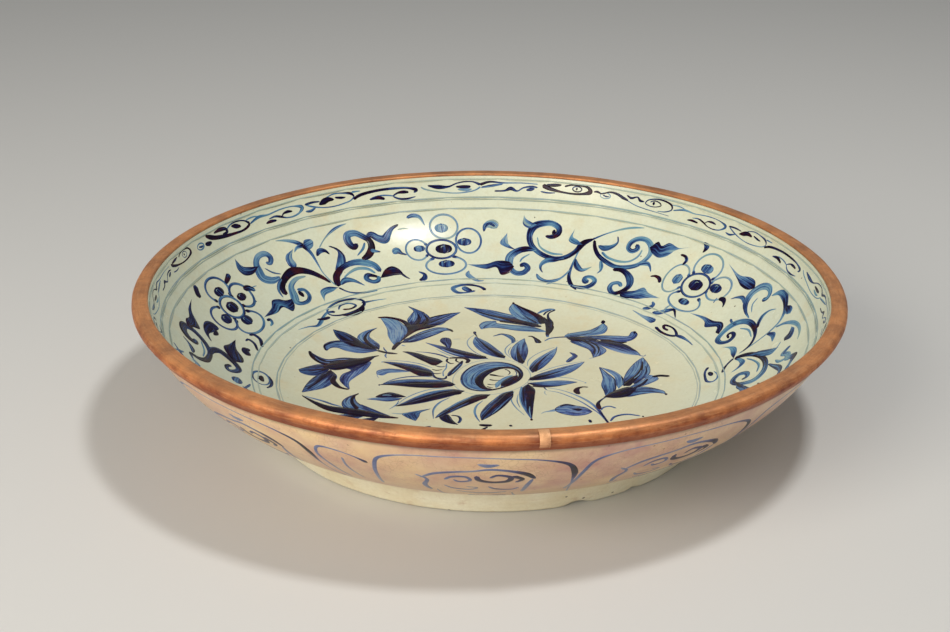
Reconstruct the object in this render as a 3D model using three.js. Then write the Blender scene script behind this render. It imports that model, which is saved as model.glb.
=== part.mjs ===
// A wide, shallow stoneware dish on a foot ring, glazed inside and out, with a folded copper rim binding.
// Millimetres, +Z up. The origin is the middle of the foot ring's resting face, and -Y is the front.
import * as THREE from "three";

// Overall size, over the binding
const RIM_RADIUS = 180;
const HEIGHT = 72.8;

// Inside surface: a flat floor that turns up into the wall
const FLOOR_RADIUS = 88;
const FLOOR_HEIGHT = 13.1;
const FLOOR_REACH = 24; // how far the floor's line pulls the curve outwards
const WALL_REACH = 34.6; // how far the wall's line pulls the curve downwards
const WALL_STEEPNESS = 72; // degrees from level, at the lip

// Wall from glaze face to glaze face
const FLOOR_THICKNESS = 7.2;
const HEEL_THICKNESS = 8.0;
const LIP_THICKNESS = 5.0;
const HEEL_PLACE = 0.35; // share of the wall's curve at which it is thickest, over the foot ring

// Coats on the fired clay
const GLAZE = 0.7;
const WASH = 0.4;
const WASH_MARGIN = 1.2; // bare clay between the wash and the foot ring
const GAP = 0.3; // between two pieces that touch

// Foot ring
const FOOT_RADIUS = 114.3; // outer edge of the resting face
const FOOT_LAND = 7.8; // width of the resting face
const FOOT_FLARE = 8.7; // how far the outer face leans out on its way up
const FOOT_LEAN = 1.6; // how far the inner face leans in on its way up
const FOOT_BEVEL = 0.8; // broken edges of the resting face

// Rim binding, a strip folded over the lip
const SHEET = 0.8;
const BINDING_WIDTH = 8.4; // across its top
const BINDING_DROP = 8.1; // down its outer side
const BINDING_HOOK = 1.4; // down its inner side
const SHOULDER_ROUND = 2.9;
const INNER_ROUND = 0.9;
const SKIRT_LEAN = 38; // degrees from upright, drawn in under the shoulder
const CEMENT = 0.5; // bed between the lip and the strip

// Patch soldered over the ends of the strip
const LAP_WIDTH = 4.6;
const LAP_SKIRT = 0.6; // down the skirt, below the shoulder
const LAP_TOP = 2.4; // along the top, in from the shoulder
const LAP_SHEET = 0.4;
const LAP_ANGLE = 7.6; // degrees from the front, towards +X

// Smoothness
const TURN_STEPS = 60;
const WALL_STEPS = 10;
const SEAT_STEPS = 4;
const ROUND_STEPS = 3;

const radians = THREE.MathUtils.degToRad;
const point = (radius, height) => new THREE.Vector2(radius, height);

const bindingInside = RIM_RADIUS - BINDING_WIDTH;
const skirtBottom = HEIGHT - BINDING_DROP;
const glazeTop = HEIGHT - BINDING_HOOK - GAP;

const insideCurve = new THREE.CubicBezierCurve(
  point(FLOOR_RADIUS, FLOOR_HEIGHT),
  point(FLOOR_RADIUS + FLOOR_REACH, FLOOR_HEIGHT),
  point(
    bindingInside - WALL_REACH * Math.cos(radians(WALL_STEEPNESS)),
    glazeTop - WALL_REACH * Math.sin(radians(WALL_STEEPNESS)),
  ),
  point(bindingInside, glazeTop),
);

// Glaze face to glaze face at t along the wall: it swells to the heel and thins to the lip.
function wallThickness(t) {
  if (t < HEEL_PLACE) {
    const share = THREE.MathUtils.smoothstep(t, 0, HEEL_PLACE);
    return THREE.MathUtils.lerp(FLOOR_THICKNESS, HEEL_THICKNESS, share);
  }
  const share = (t - HEEL_PLACE) / (1 - HEEL_PLACE);
  return THREE.MathUtils.lerp(HEEL_THICKNESS, LIP_THICKNESS, share);
}

// The point at t along the inside curve, moved into the wall square to the surface.
function fromInside(t, depth) {
  const place = insideCurve.getPoint(t);
  const along = insideCurve.getTangent(t);
  return point(place.x + along.y * depth, place.y - along.x * depth);
}

// The same, measured inwards from the outer glaze face.
function fromOutside(t, depth) {
  return fromInside(t, wallThickness(t) - depth);
}

// The t at which a value that grows along the wall reaches the target.
function whereOnWall(valueAt, target) {
  let low = 0;
  let high = 1;
  for (let i = 0; i < 40; i += 1) {
    const middle = (low + high) / 2;
    if (valueAt(middle) < target) {
      low = middle;
    } else {
      high = middle;
    }
  }
  return (low + high) / 2;
}

// A path along the wall from t0 to t1, each point made by at(t).
function alongWall(at, t0, t1, steps = WALL_STEPS) {
  return Array.from({ length: steps + 1 }, (_, i) =>
    at(THREE.MathUtils.lerp(t0, t1, i / steps)),
  );
}

// Part of a circle, from one angle to another, in degrees.
function arc(centreX, centreY, radius, from, to) {
  return Array.from({ length: ROUND_STEPS + 1 }, (_, i) => {
    const angle = radians(THREE.MathUtils.lerp(from, to, i / ROUND_STEPS));
    return point(centreX + radius * Math.cos(angle), centreY + radius * Math.sin(angle));
  });
}

// The binding's shoulder and skirt at a depth under its outer face, from the skirt's lower edge up to the top.
function shoulderPath(depth, bottom) {
  const centreX = RIM_RADIUS - SHOULDER_ROUND;
  const centreY = HEIGHT - SHOULDER_ROUND;
  const round = arc(centreX, centreY, SHOULDER_ROUND - depth, -SKIRT_LEAN, 90);
  const fall = round[0].y - bottom;
  const skirt = point(round[0].x - fall * Math.tan(radians(SKIRT_LEAN)), bottom);
  return [skirt, ...round];
}

// A closed solid of revolution. The path runs outwards along the underside, up, and back inside.
function turned(path) {
  const loop = path[0].x > 0 ? [...path, path[0]] : path;
  const geometry = new THREE.LatheGeometry(loop, TURN_STEPS);
  return geometry.rotateX(Math.PI / 2);
}

function bodyGeometry() {
  const coat = GLAZE + GAP;
  const lipDepth = SHEET + GAP + CEMENT + GAP;
  const ledge = skirtBottom - GAP;
  const lipTop = HEIGHT - lipDepth;
  const outerEnd = whereOnWall((t) => fromOutside(t, coat).y, ledge);
  const innerEnd = whereOnWall((t) => fromInside(t, coat).y, lipTop);
  const underside = alongWall((t) => fromOutside(t, coat), 0, outerEnd);
  const inside = alongWall((t) => fromInside(t, coat), 0, innerEnd);
  return turned([
    point(0, FLOOR_HEIGHT - FLOOR_THICKNESS + coat),
    ...underside,
    ...shoulderPath(lipDepth, ledge),
    ...inside.reverse(),
    point(0, FLOOR_HEIGHT - coat),
  ]);
}

function innerGlazeGeometry() {
  const face = alongWall((t) => fromInside(t, 0), 0, 1);
  const back = alongWall((t) => fromInside(t, GLAZE), 0, 1);
  return turned([
    point(0, FLOOR_HEIGHT - GLAZE),
    ...back,
    ...face.reverse(),
    point(0, FLOOR_HEIGHT),
  ]);
}

function outerGlazeGeometry() {
  const start = whereOnWall((t) => fromOutside(t, GLAZE).x, FOOT_RADIUS + FOOT_FLARE + GAP);
  const end = whereOnWall((t) => fromOutside(t, GLAZE).y, skirtBottom - GAP);
  const face = alongWall((t) => fromOutside(t, 0), start, end);
  const back = alongWall((t) => fromOutside(t, GLAZE), start, end);
  return turned([...face, ...back.reverse()]);
}

// The ring's seat follows the underside of the body, from its inner wall to the edge of the glaze.
function footRingGeometry() {
  const innerEdge = FOOT_RADIUS - FOOT_LAND;
  const seatFrom = whereOnWall((t) => fromOutside(t, GLAZE).x, innerEdge - FOOT_LEAN);
  const seatTo = whereOnWall((t) => fromOutside(t, GLAZE).x, FOOT_RADIUS + FOOT_FLARE);
  const seat = alongWall((t) => fromOutside(t, GLAZE), seatFrom, seatTo, SEAT_STEPS);
  return turned([
    point(innerEdge - FOOT_BEVEL * (FOOT_LEAN / seat[0].y), FOOT_BEVEL),
    point(innerEdge + FOOT_BEVEL, 0),
    point(FOOT_RADIUS - FOOT_BEVEL, 0),
    point(FOOT_RADIUS + FOOT_BEVEL * (FOOT_FLARE / seat[SEAT_STEPS].y), FOOT_BEVEL),
    ...seat.reverse(),
  ]);
}

// A thin brown wash brushed on the recessed base, inside the foot ring.
function baseWashGeometry() {
  const edge = FOOT_RADIUS - FOOT_LAND - FOOT_LEAN - WASH_MARGIN;
  const lower = (t) => fromOutside(t, GLAZE - WASH);
  const upper = (t) => fromOutside(t, GLAZE);
  const end = whereOnWall((t) => upper(t).x, edge);
  const base = FLOOR_HEIGHT - FLOOR_THICKNESS + GLAZE;
  return turned([
    point(0, base - WASH),
    ...alongWall(lower, 0, end, SEAT_STEPS),
    ...alongWall(upper, 0, end, SEAT_STEPS).reverse(),
    point(0, base),
  ]);
}

function bindingGeometry() {
  const corner = arc(
    bindingInside + INNER_ROUND,
    HEIGHT - INNER_ROUND,
    INNER_ROUND,
    90,
    180,
  );
  const hook = glazeTop + GAP;
  return turned([
    ...shoulderPath(0, skirtBottom),
    ...corner,
    point(bindingInside, hook),
    point(bindingInside + SHEET, hook),
    point(bindingInside + SHEET, HEIGHT - SHEET),
    ...shoulderPath(SHEET, skirtBottom).reverse(),
  ]);
}

function cementGeometry() {
  const outer = SHEET + GAP;
  const inner = outer + CEMENT;
  const start = bindingInside + Math.max(SHEET, GLAZE) + GAP;
  return turned([
    ...shoulderPath(outer, skirtBottom),
    point(start, HEIGHT - outer),
    point(start, HEIGHT - inner),
    ...shoulderPath(inner, skirtBottom).reverse(),
  ]);
}

// The patch follows the binding's shoulder in section and is straight across its small width.
function lapGeometry() {
  const faceRound = SHOULDER_ROUND + GAP + LAP_SHEET;
  const skirtTop = HEIGHT - SHOULDER_ROUND - faceRound * Math.sin(radians(SKIRT_LEAN));
  const face = shoulderPath(-GAP - LAP_SHEET, skirtTop - LAP_SKIRT);
  const back = shoulderPath(-GAP, skirtTop - LAP_SKIRT);
  const topEnd = RIM_RADIUS - SHOULDER_ROUND - LAP_TOP;
  const section = [
    ...face,
    point(topEnd, HEIGHT + GAP + LAP_SHEET),
    point(topEnd, HEIGHT + GAP),
    ...back.reverse(),
  ];
  const geometry = new THREE.ExtrudeGeometry(new THREE.Shape(section), {
    depth: LAP_WIDTH,
    bevelEnabled: false,
  });
  geometry.translate(0, 0, -LAP_WIDTH / 2);
  geometry.rotateX(Math.PI / 2);
  return geometry.rotateZ(radians(LAP_ANGLE - 90));
}

const clay = new THREE.MeshStandardMaterial({ color: 0xded9bd, roughness: 0.85, metalness: 0 });
const creamGlaze = new THREE.MeshStandardMaterial({ color: 0xd8d8bc, roughness: 0.2, metalness: 0 });
const buffGlaze = new THREE.MeshStandardMaterial({ color: 0xd2b494, roughness: 0.25, metalness: 0 });
const brownWash = new THREE.MeshStandardMaterial({ color: 0x5b3220, roughness: 0.7, metalness: 0 });
const copper = new THREE.MeshStandardMaterial({ color: 0xb5683f, roughness: 0.35, metalness: 1 });
const solder = new THREE.MeshStandardMaterial({ color: 0xd9a57c, roughness: 0.4, metalness: 1 });
const resin = new THREE.MeshStandardMaterial({ color: 0x3a2a20, roughness: 0.8, metalness: 0 });

function piece(name, geometry, material) {
  const mesh = new THREE.Mesh(geometry, material);
  mesh.name = name;
  return mesh;
}

const dish = new THREE.Group();
dish.add(
  piece("stoneware_body", bodyGeometry(), clay),
  piece("foot_ring", footRingGeometry(), clay),
  piece("inner_glaze", innerGlazeGeometry(), creamGlaze),
  piece("outer_glaze", outerGlazeGeometry(), buffGlaze),
  piece("base_wash", baseWashGeometry(), brownWash),
  piece("rim_binding", bindingGeometry(), copper),
  piece("binding_cement", cementGeometry(), resin),
  piece("binding_lap", lapGeometry(), solder),
);

export default dish;
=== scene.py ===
# A wide blue-and-white stoneware dish on a foot ring, with a folded copper binding round its rim.
# Metres, +Z up. The origin is the middle of the foot ring's resting face, and -Y is the front.
# Values named *_MM are millimetres, as a maker would measure them; MM turns them to metres.
import math

import bpy
import numpy as np
from mathutils import Matrix, Vector


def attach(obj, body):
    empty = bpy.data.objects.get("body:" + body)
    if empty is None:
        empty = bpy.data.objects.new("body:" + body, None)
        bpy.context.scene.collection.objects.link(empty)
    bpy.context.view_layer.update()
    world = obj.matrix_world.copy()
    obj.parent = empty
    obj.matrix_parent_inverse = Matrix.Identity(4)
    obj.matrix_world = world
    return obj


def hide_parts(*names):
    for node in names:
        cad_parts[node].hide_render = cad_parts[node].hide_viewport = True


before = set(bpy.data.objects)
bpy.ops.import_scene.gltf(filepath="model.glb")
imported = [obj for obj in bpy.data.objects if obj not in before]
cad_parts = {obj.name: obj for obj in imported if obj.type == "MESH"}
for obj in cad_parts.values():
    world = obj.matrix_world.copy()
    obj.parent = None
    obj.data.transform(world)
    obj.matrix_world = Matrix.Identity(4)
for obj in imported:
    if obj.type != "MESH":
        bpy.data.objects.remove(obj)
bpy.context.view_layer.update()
MM = 0.001

# The dish's real sizes, the same as in the part's source
RIM_RADIUS = 180
HEIGHT = 72.8
FLOOR_RADIUS = 88
FLOOR_HEIGHT = 13.1
FLOOR_REACH = 24
WALL_REACH = 34.6
WALL_STEEPNESS = math.radians(72)
FLOOR_THICKNESS = 7.2
HEEL_THICKNESS = 8.0
LIP_THICKNESS = 5.0
HEEL_PLACE = 0.35
GLAZE = 0.7
WASH = 0.4
WASH_MARGIN = 1.2
GAP = 0.3
FOOT_RADIUS = 114.3
FOOT_LAND = 7.8
FOOT_FLARE = 8.7
FOOT_LEAN = 1.6
FOOT_BEVEL = 0.8
SHEET = 0.8
BINDING_WIDTH = 8.4
BINDING_DROP = 8.1
BINDING_HOOK = 1.4
SHOULDER_ROUND = 2.9
INNER_ROUND = 0.9
SKIRT_LEAN = math.radians(38)
LAP_WIDTH = 4.6
LAP_SKIRT = 0.6
LAP_TOP = 2.4
LAP_SHEET = 0.4
LAP_ANGLE = math.radians(7.6)

BINDING_INSIDE = RIM_RADIUS - BINDING_WIDTH
SKIRT_BOTTOM = HEIGHT - BINDING_DROP
GLAZE_TOP = HEIGHT - BINDING_HOOK - GAP
LARGEST_RADIUS = 179.97  # the turned solids of the frame end here
TURN_STEPS = 288
WALL_STEPS = 72

WALL_POINTS = np.array([
    (FLOOR_RADIUS, FLOOR_HEIGHT),
    (FLOOR_RADIUS + FLOOR_REACH, FLOOR_HEIGHT),
    (BINDING_INSIDE - WALL_REACH * math.cos(WALL_STEEPNESS),
     GLAZE_TOP - WALL_REACH * math.sin(WALL_STEEPNESS)),
    (BINDING_INSIDE, GLAZE_TOP),
])


# The dish's section: points of radius and height, in millimetres

def wall_thickness(t):
    """Glaze face to glaze face: the wall swells to the heel and thins to the lip."""
    share = np.clip(t / HEEL_PLACE, 0, 1)
    swell = share * share * (3 - 2 * share)
    thin = (t - HEEL_PLACE) / (1 - HEEL_PLACE)
    return np.where(t < HEEL_PLACE,
                    FLOOR_THICKNESS + (HEEL_THICKNESS - FLOOR_THICKNESS) * swell,
                    HEEL_THICKNESS + (LIP_THICKNESS - HEEL_THICKNESS) * thin)


def from_inside(t, depth):
    """Points at t along the inside curve, moved into the wall square to its surface."""
    t = np.atleast_1d(np.asarray(t, float))
    a, b, c, d = WALL_POINTS
    s = t[:, None]
    place = (1 - s) ** 3 * a + 3 * (1 - s) ** 2 * s * b + 3 * (1 - s) * s * s * c + s ** 3 * d
    along = (1 - s) ** 2 * (b - a) + 2 * (1 - s) * s * (c - b) + s * s * (d - c)
    along /= np.hypot(along[:, 0], along[:, 1])[:, None]
    depth = np.broadcast_to(depth, t.shape)
    return np.stack([place[:, 0] + along[:, 1] * depth, place[:, 1] - along[:, 0] * depth], -1)


def from_outside(t, depth):
    t = np.atleast_1d(np.asarray(t, float))
    return from_inside(t, wall_thickness(t) - depth)


def where_on_wall(value_at, target):
    low, high = 0.0, 1.0
    for _ in range(40):
        middle = (low + high) / 2
        if value_at(middle) < target:
            low = middle
        else:
            high = middle
    return (low + high) / 2


def along_wall(face, depth, t0, t1, steps=WALL_STEPS):
    return [tuple(p) for p in face(np.linspace(t0, t1, steps + 1), depth)]


def arc(centre_r, centre_z, radius, start, end, steps=14):
    angles = np.linspace(start, end, steps + 1)
    return [(centre_r + radius * math.cos(a), centre_z + radius * math.sin(a)) for a in angles]


def shoulder_path(depth, bottom):
    """The binding's skirt and shoulder under its outer face, from the skirt's lower edge to the top."""
    centre_r = RIM_RADIUS - SHOULDER_ROUND
    centre_z = HEIGHT - SHOULDER_ROUND
    turn = arc(centre_r, centre_z, SHOULDER_ROUND - depth, -SKIRT_LEAN, math.pi / 2)
    fall = turn[0][1] - bottom
    skirt = (turn[0][0] - fall * math.tan(SKIRT_LEAN), bottom)
    middle = ((skirt[0] + turn[0][0]) / 2, (skirt[1] + turn[0][1]) / 2)
    return [skirt, middle] + turn


# Small jobs that the pieces share

def to_linear(hex_colour):
    """An sRGB hex colour as linear RGBA."""
    values = [int(hex_colour[i:i + 2], 16) / 255 for i in (1, 3, 5)]
    return tuple(v / 12.92 if v <= 0.04045 else ((v + 0.055) / 1.055) ** 2.4 for v in values) + (1.0,)


def deselect_all():
    bpy.ops.object.select_all(action="DESELECT")


def rides(piece, slot, *replaced):
    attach(piece, "root")
    if replaced:
        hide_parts(*replaced)
    return piece


def turned(name, path, material, smooth_angle=32):
    """A ring of section points, given in millimetres, spun round the dish's axis into a closed piece."""
    deselect_all()
    bpy.ops.mesh.primitive_circle_add(vertices=len(path), radius=10 * MM)
    piece = bpy.context.object
    piece.name = name
    piece.data.name = name
    for vertex, (radius, height) in zip(piece.data.vertices, path):
        vertex.co = (min(radius, LARGEST_RADIUS) * MM, 0, height * MM)
    bpy.ops.object.mode_set(mode="EDIT")
    bpy.ops.mesh.select_all(action="SELECT")
    bpy.ops.mesh.spin(steps=TURN_STEPS, angle=2 * math.pi, center=(0, 0, 0), axis=(0, 0, 1))
    bpy.ops.mesh.select_all(action="SELECT")
    bpy.ops.mesh.remove_doubles(threshold=0.004 * MM)
    bpy.ops.mesh.normals_make_consistent(inside=False)
    bpy.ops.object.mode_set(mode="OBJECT")
    bpy.ops.object.shade_smooth_by_angle(angle=math.radians(smooth_angle))
    piece.data.materials.clear()
    piece.data.materials.append(material)
    return piece


def moved(piece, shift):
    """Moves a piece's vertices by shift(x, y, z), arrays of millimetres that it changes and returns."""
    mesh = piece.data
    places = np.empty(len(mesh.vertices) * 3)
    mesh.vertices.foreach_get("co", places)
    x, y, z = (places.reshape(-1, 3) / MM).T
    x, y, z = shift(x, y, z)
    mesh.vertices.foreach_set("co", (np.stack([x, y, z], -1) * MM).ravel())
    mesh.update()


def waves(angle, seed, counts=(3, 5, 8, 13, 21, 34)):
    """A smooth uneven line round a circle, about -1 to 1."""
    chance = np.random.default_rng(seed)
    total = np.zeros_like(angle)
    for count in counts:
        total += math.sqrt(3 / count) * np.sin(count * angle + chance.uniform(0, 2 * math.pi))
    return total / 2.2


# Materials. Ratios are shares of 1, and low and high are the levels between which a noise fades in.
RGBA = {"data_type": "RGBA"}
TIMES = {"operation": "MULTIPLY"}
PLUS = {"operation": "ADD"}
LESS = {"operation": "SUBTRACT"}
SEEDED = {"noise_dimensions": "4D"}
PER_100_MM = 10.0  # turns a height in metres to one where 1 is 100 mm above the floor
WELL_FADES_FROM_MM = 92
WELL_ENDS_MM = 122


def new_material(name):
    material = bpy.data.materials.new(name)
    material.use_nodes = True
    tree = material.node_tree
    tree.nodes.clear()
    output = tree.nodes.new("ShaderNodeOutputMaterial")
    surface = tree.nodes.new("ShaderNodeBsdfPrincipled")
    tree.links.new(surface.outputs[0], output.inputs[0])
    return material, tree, surface


def add(tree, kind, settings=None, inputs=None, stops=()):
    """Adds a node with its settings. An input is given a value, an sRGB hex colour or a socket to link.
    Stops are a colour ramp's (place, sRGB hex colour or grey level)."""
    node = tree.nodes.new(kind)
    for key, value in (settings or {}).items():
        setattr(node, key, value)
    for key, value in (inputs or {}).items():
        if isinstance(value, bpy.types.NodeSocket):
            tree.links.new(value, node.inputs[key])
        else:
            node.inputs[key].default_value = to_linear(value) if isinstance(value, str) else value
    if stops:
        elements = node.color_ramp.elements
        while len(elements) < len(stops):
            elements.new(0.5)
        for element, (place, colour) in zip(elements, stops):
            element.position = place
            element.color = to_linear(colour) if isinstance(colour, str) else (colour, colour, colour, 1)
    return node


def cloud_settings(place, size_mm, seed, detail, roughness):
    """Inputs of a noise whose patches are about size_mm across."""
    return {"Vector": place, "W": seed, "Scale": 1 / (size_mm * MM), "Detail": detail,
            "Roughness": roughness}


def patches(tree, place, size_mm, low, high, seed, detail=4, roughness=0.6, under=0.0, over=1.0):
    """Uneven patches about size_mm across, which go from the value under to the value over."""
    cloud = add(tree, "ShaderNodeTexNoise", SEEDED, cloud_settings(place, size_mm, seed, detail, roughness))
    return add(tree, "ShaderNodeValToRGB", None, {0: cloud.outputs[0]},
               ((low, under), (high, over))).outputs[0]


def stained(tree, colour, pattern, strength, stain):
    """The colour with a stain laid over it where the pattern is."""
    share = add(tree, "ShaderNodeMath", TIMES, {0: pattern, 1: strength}).outputs[0]
    return add(tree, "ShaderNodeMix", RGBA, {0: share, 6: colour, 7: stain}).outputs[2]


def lumps(tree, place, size_mm, deep_mm, strength, seed, detail, roughness, over=None):
    """The relief of a surface with lumps about size_mm across, laid over another relief."""
    cloud = add(tree, "ShaderNodeTexNoise", SEEDED, cloud_settings(place, size_mm, seed, detail, roughness))
    inputs = {"Height": cloud.outputs[0], "Distance": deep_mm * MM, "Strength": strength}
    if over is not None:
        inputs["Normal"] = over
    return add(tree, "ShaderNodeBump", None, inputs).outputs[0]


def specks(tree, place, apart_mm, radius_mm, share):
    """Round specks, one in some of the cells of a loose grid: 1 inside a speck."""
    cell = add(tree, "ShaderNodeTexVoronoi", None, {"Vector": place, "Scale": 1 / (apart_mm * MM)})
    chance = add(tree, "ShaderNodeSeparateColor", None, {0: cell.outputs["Color"]})
    size = add(tree, "ShaderNodeMath", TIMES, {0: chance.outputs[1], 1: radius_mm / apart_mm}).outputs[0]
    inside = add(tree, "ShaderNodeMath", {"operation": "LESS_THAN"}, {0: cell.outputs["Distance"], 1: size})
    picked = add(tree, "ShaderNodeMath", {"operation": "LESS_THAN"}, {0: chance.outputs[0], 1: share})
    return add(tree, "ShaderNodeMath", TIMES, {0: inside.outputs[0], 1: picked.outputs[0]}).outputs[0]


def in_the_well(tree, place):
    """1 in the well and 0 on the wall, softly: the photograph shows both colours warmer in the well."""
    distance = add(tree, "ShaderNodeVectorMath", {"operation": "LENGTH"}, {0: place}).outputs["Value"]
    return add(tree, "ShaderNodeValToRGB", None, {0: distance},
               ((WELL_FADES_FROM_MM * MM, 1.0), (WELL_ENDS_MM * MM, 0.0))).outputs[0]


def round_the_axis(tree, place):
    """The place's angle round the axis, its distance from the axis and its height."""
    split = add(tree, "ShaderNodeSeparateXYZ", None, {0: place})
    turn = add(tree, "ShaderNodeMath", {"operation": "ARCTAN2"}, {0: split.outputs[1], 1: split.outputs[0]})
    squares = [add(tree, "ShaderNodeMath", {"operation": "POWER"}, {0: split.outputs[i], 1: 2.0}).outputs[0]
               for i in (0, 1)]
    total = add(tree, "ShaderNodeMath", PLUS, {0: squares[0], 1: squares[1]}).outputs[0]
    radius = add(tree, "ShaderNodeMath", {"operation": "SQRT"}, {0: total})
    return turn.outputs[0], radius.outputs[0], split.outputs[2]


def cream_glaze_colour(tree, place):
    """Thin cream to greenish glaze over pale clay, with iron specks and pinholes."""
    broad = patches(tree, place, 46, 0.34, 0.66, seed=1, roughness=0.55)
    fine = patches(tree, place, 9, 0.36, 0.7, seed=4)
    grain = patches(tree, place, 1.5, 0.42, 0.7, seed=8, detail=3)
    stain = patches(tree, place, 17, 0.54, 0.72, seed=9, detail=5, roughness=0.62)
    colour = add(tree, "ShaderNodeMix", RGBA, {0: broad, 6: "#cbd0bd", 7: "#d3d4b9"}).outputs[2]
    colour = stained(tree, colour, fine, 0.45, "#c4c9b2")
    colour = stained(tree, colour, grain, 0.3, "#bdb896")
    colour = stained(tree, colour, stain, 0.42, "#cdb98c")
    colour = stained(tree, colour, in_the_well(tree, place), 0.28, "#dcc694")
    colour = stained(tree, colour, specks(tree, place, 11, 0.85, 0.3), 0.75, "#5d4a38")
    return stained(tree, colour, specks(tree, place, 3.4, 0.42, 0.22), 0.5, "#a08a62")


def glaze_relief(tree, place):
    """Glaze that pooled and crawled a little while it was wet, with pinholes."""
    soft = lumps(tree, place, 14, 0.12, 1.0, seed=2, detail=2, roughness=0.5)
    return lumps(tree, place, 2.2, 0.008, 1.0, seed=6, detail=2, roughness=0.5, over=soft)


def cream_glaze():
    # Lime-ash glaze fired on white slip: glossy, slightly green where thick, warm where thin.
    material, tree, surface = new_material("cream_ash_glaze")
    place = add(tree, "ShaderNodeTexCoord").outputs["Object"]
    tree.links.new(cream_glaze_colour(tree, place), surface.inputs["Base Color"])
    tree.links.new(glaze_relief(tree, place), surface.inputs["Normal"])
    rough = patches(tree, place, 12, 0.3, 0.75, seed=3, under=0.16, over=0.3)
    tree.links.new(rough, surface.inputs["Roughness"])
    surface.inputs["IOR"].default_value = 1.38
    return material


def paint_depth(tree, tone, pattern, middle, strength):
    """How far a pattern about its middle value makes the tone deeper or paler."""
    away = add(tree, "ShaderNodeMath", LESS, {0: pattern, 1: middle}).outputs[0]
    change = add(tree, "ShaderNodeMath", TIMES, {0: away, 1: strength}).outputs[0]
    return add(tree, "ShaderNodeMath", PLUS, {0: tone, 1: change}).outputs[0]


def cobalt_paint():
    # Cobalt and iron pigment brushed on before glazing: pale where the brush was wet, near black where it
    # heaped. The attribute tone runs from grey-green hairline to black, cover is how much of the glaze's
    # colour it hides, and hair runs across the stroke, so that the brush's hairs leave streaks along it.
    material, tree, surface = new_material("cobalt_under_glaze")
    place = add(tree, "ShaderNodeTexCoord").outputs["Object"]
    glaze = cream_glaze_colour(tree, place)
    tone = add(tree, "ShaderNodeAttribute", {"attribute_name": "tone"}).outputs["Fac"]
    cover = add(tree, "ShaderNodeAttribute", {"attribute_name": "cover"}).outputs["Fac"]
    hair = add(tree, "ShaderNodeAttribute", {"attribute_name": "hair"}).outputs["Vector"]
    streak = add(tree, "ShaderNodeTexNoise", None, {"Vector": hair, "Scale": 1.0, "Detail": 3.0}).outputs[0]
    blot = add(tree, "ShaderNodeTexNoise", SEEDED, cloud_settings(place, 2.6, 7.0, 3, 0.6)).outputs[0]
    depth = paint_depth(tree, tone, streak, 0.52, 1.5)
    depth = paint_depth(tree, depth, blot, 0.5, 0.34)
    on_wall = add(tree, "ShaderNodeValToRGB", None, {0: depth},
                  ((0.0, "#8a9a8c"), (0.2, "#7290a6"), (0.4, "#45688f"), (0.58, "#2a3e70"),
                   (0.78, "#11133e"), (1.0, "#140718"))).outputs[0]
    in_well = add(tree, "ShaderNodeValToRGB", None, {0: depth},
                  ((0.0, "#9a9cab"), (0.2, "#8191b4"), (0.4, "#4f6098"), (0.58, "#2c2c66"),
                   (0.78, "#130c33"), (1.0, "#150412"))).outputs[0]
    colour = stained(tree, on_wall, in_the_well(tree, place), 0.75, in_well)
    green = patches(tree, place, 60, 0.4, 0.6, seed=13, detail=2, roughness=0.5)
    thin = add(tree, "ShaderNodeValToRGB", None, {0: depth}, ((0.1, 1.0), (0.75, 0.0))).outputs[0]
    thin_green = add(tree, "ShaderNodeMath", TIMES, {0: green, 1: thin}).outputs[0]
    colour = stained(tree, colour, thin_green, 0.55, "#4a8798")
    rust = patches(tree, place, 6, 0.5, 0.66, seed=11, detail=3)
    heaped = add(tree, "ShaderNodeValToRGB", None, {0: tone}, ((0.86, 0.0), (0.98, 1.0))).outputs[0]
    heaped_rust = add(tree, "ShaderNodeMath", TIMES, {0: rust, 1: heaped}).outputs[0]
    colour = stained(tree, colour, heaped_rust, 0.9, "#3a131a")
    colour = add(tree, "ShaderNodeMix", RGBA, {0: cover, 6: glaze, 7: colour}).outputs[2]
    tree.links.new(colour, surface.inputs["Base Color"])
    tree.links.new(glaze_relief(tree, place), surface.inputs["Normal"])
    surface.inputs["Roughness"].default_value = 0.2
    surface.inputs["IOR"].default_value = 1.3
    surface.inputs["Specular IOR Level"].default_value = 0.3
    return material


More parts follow.
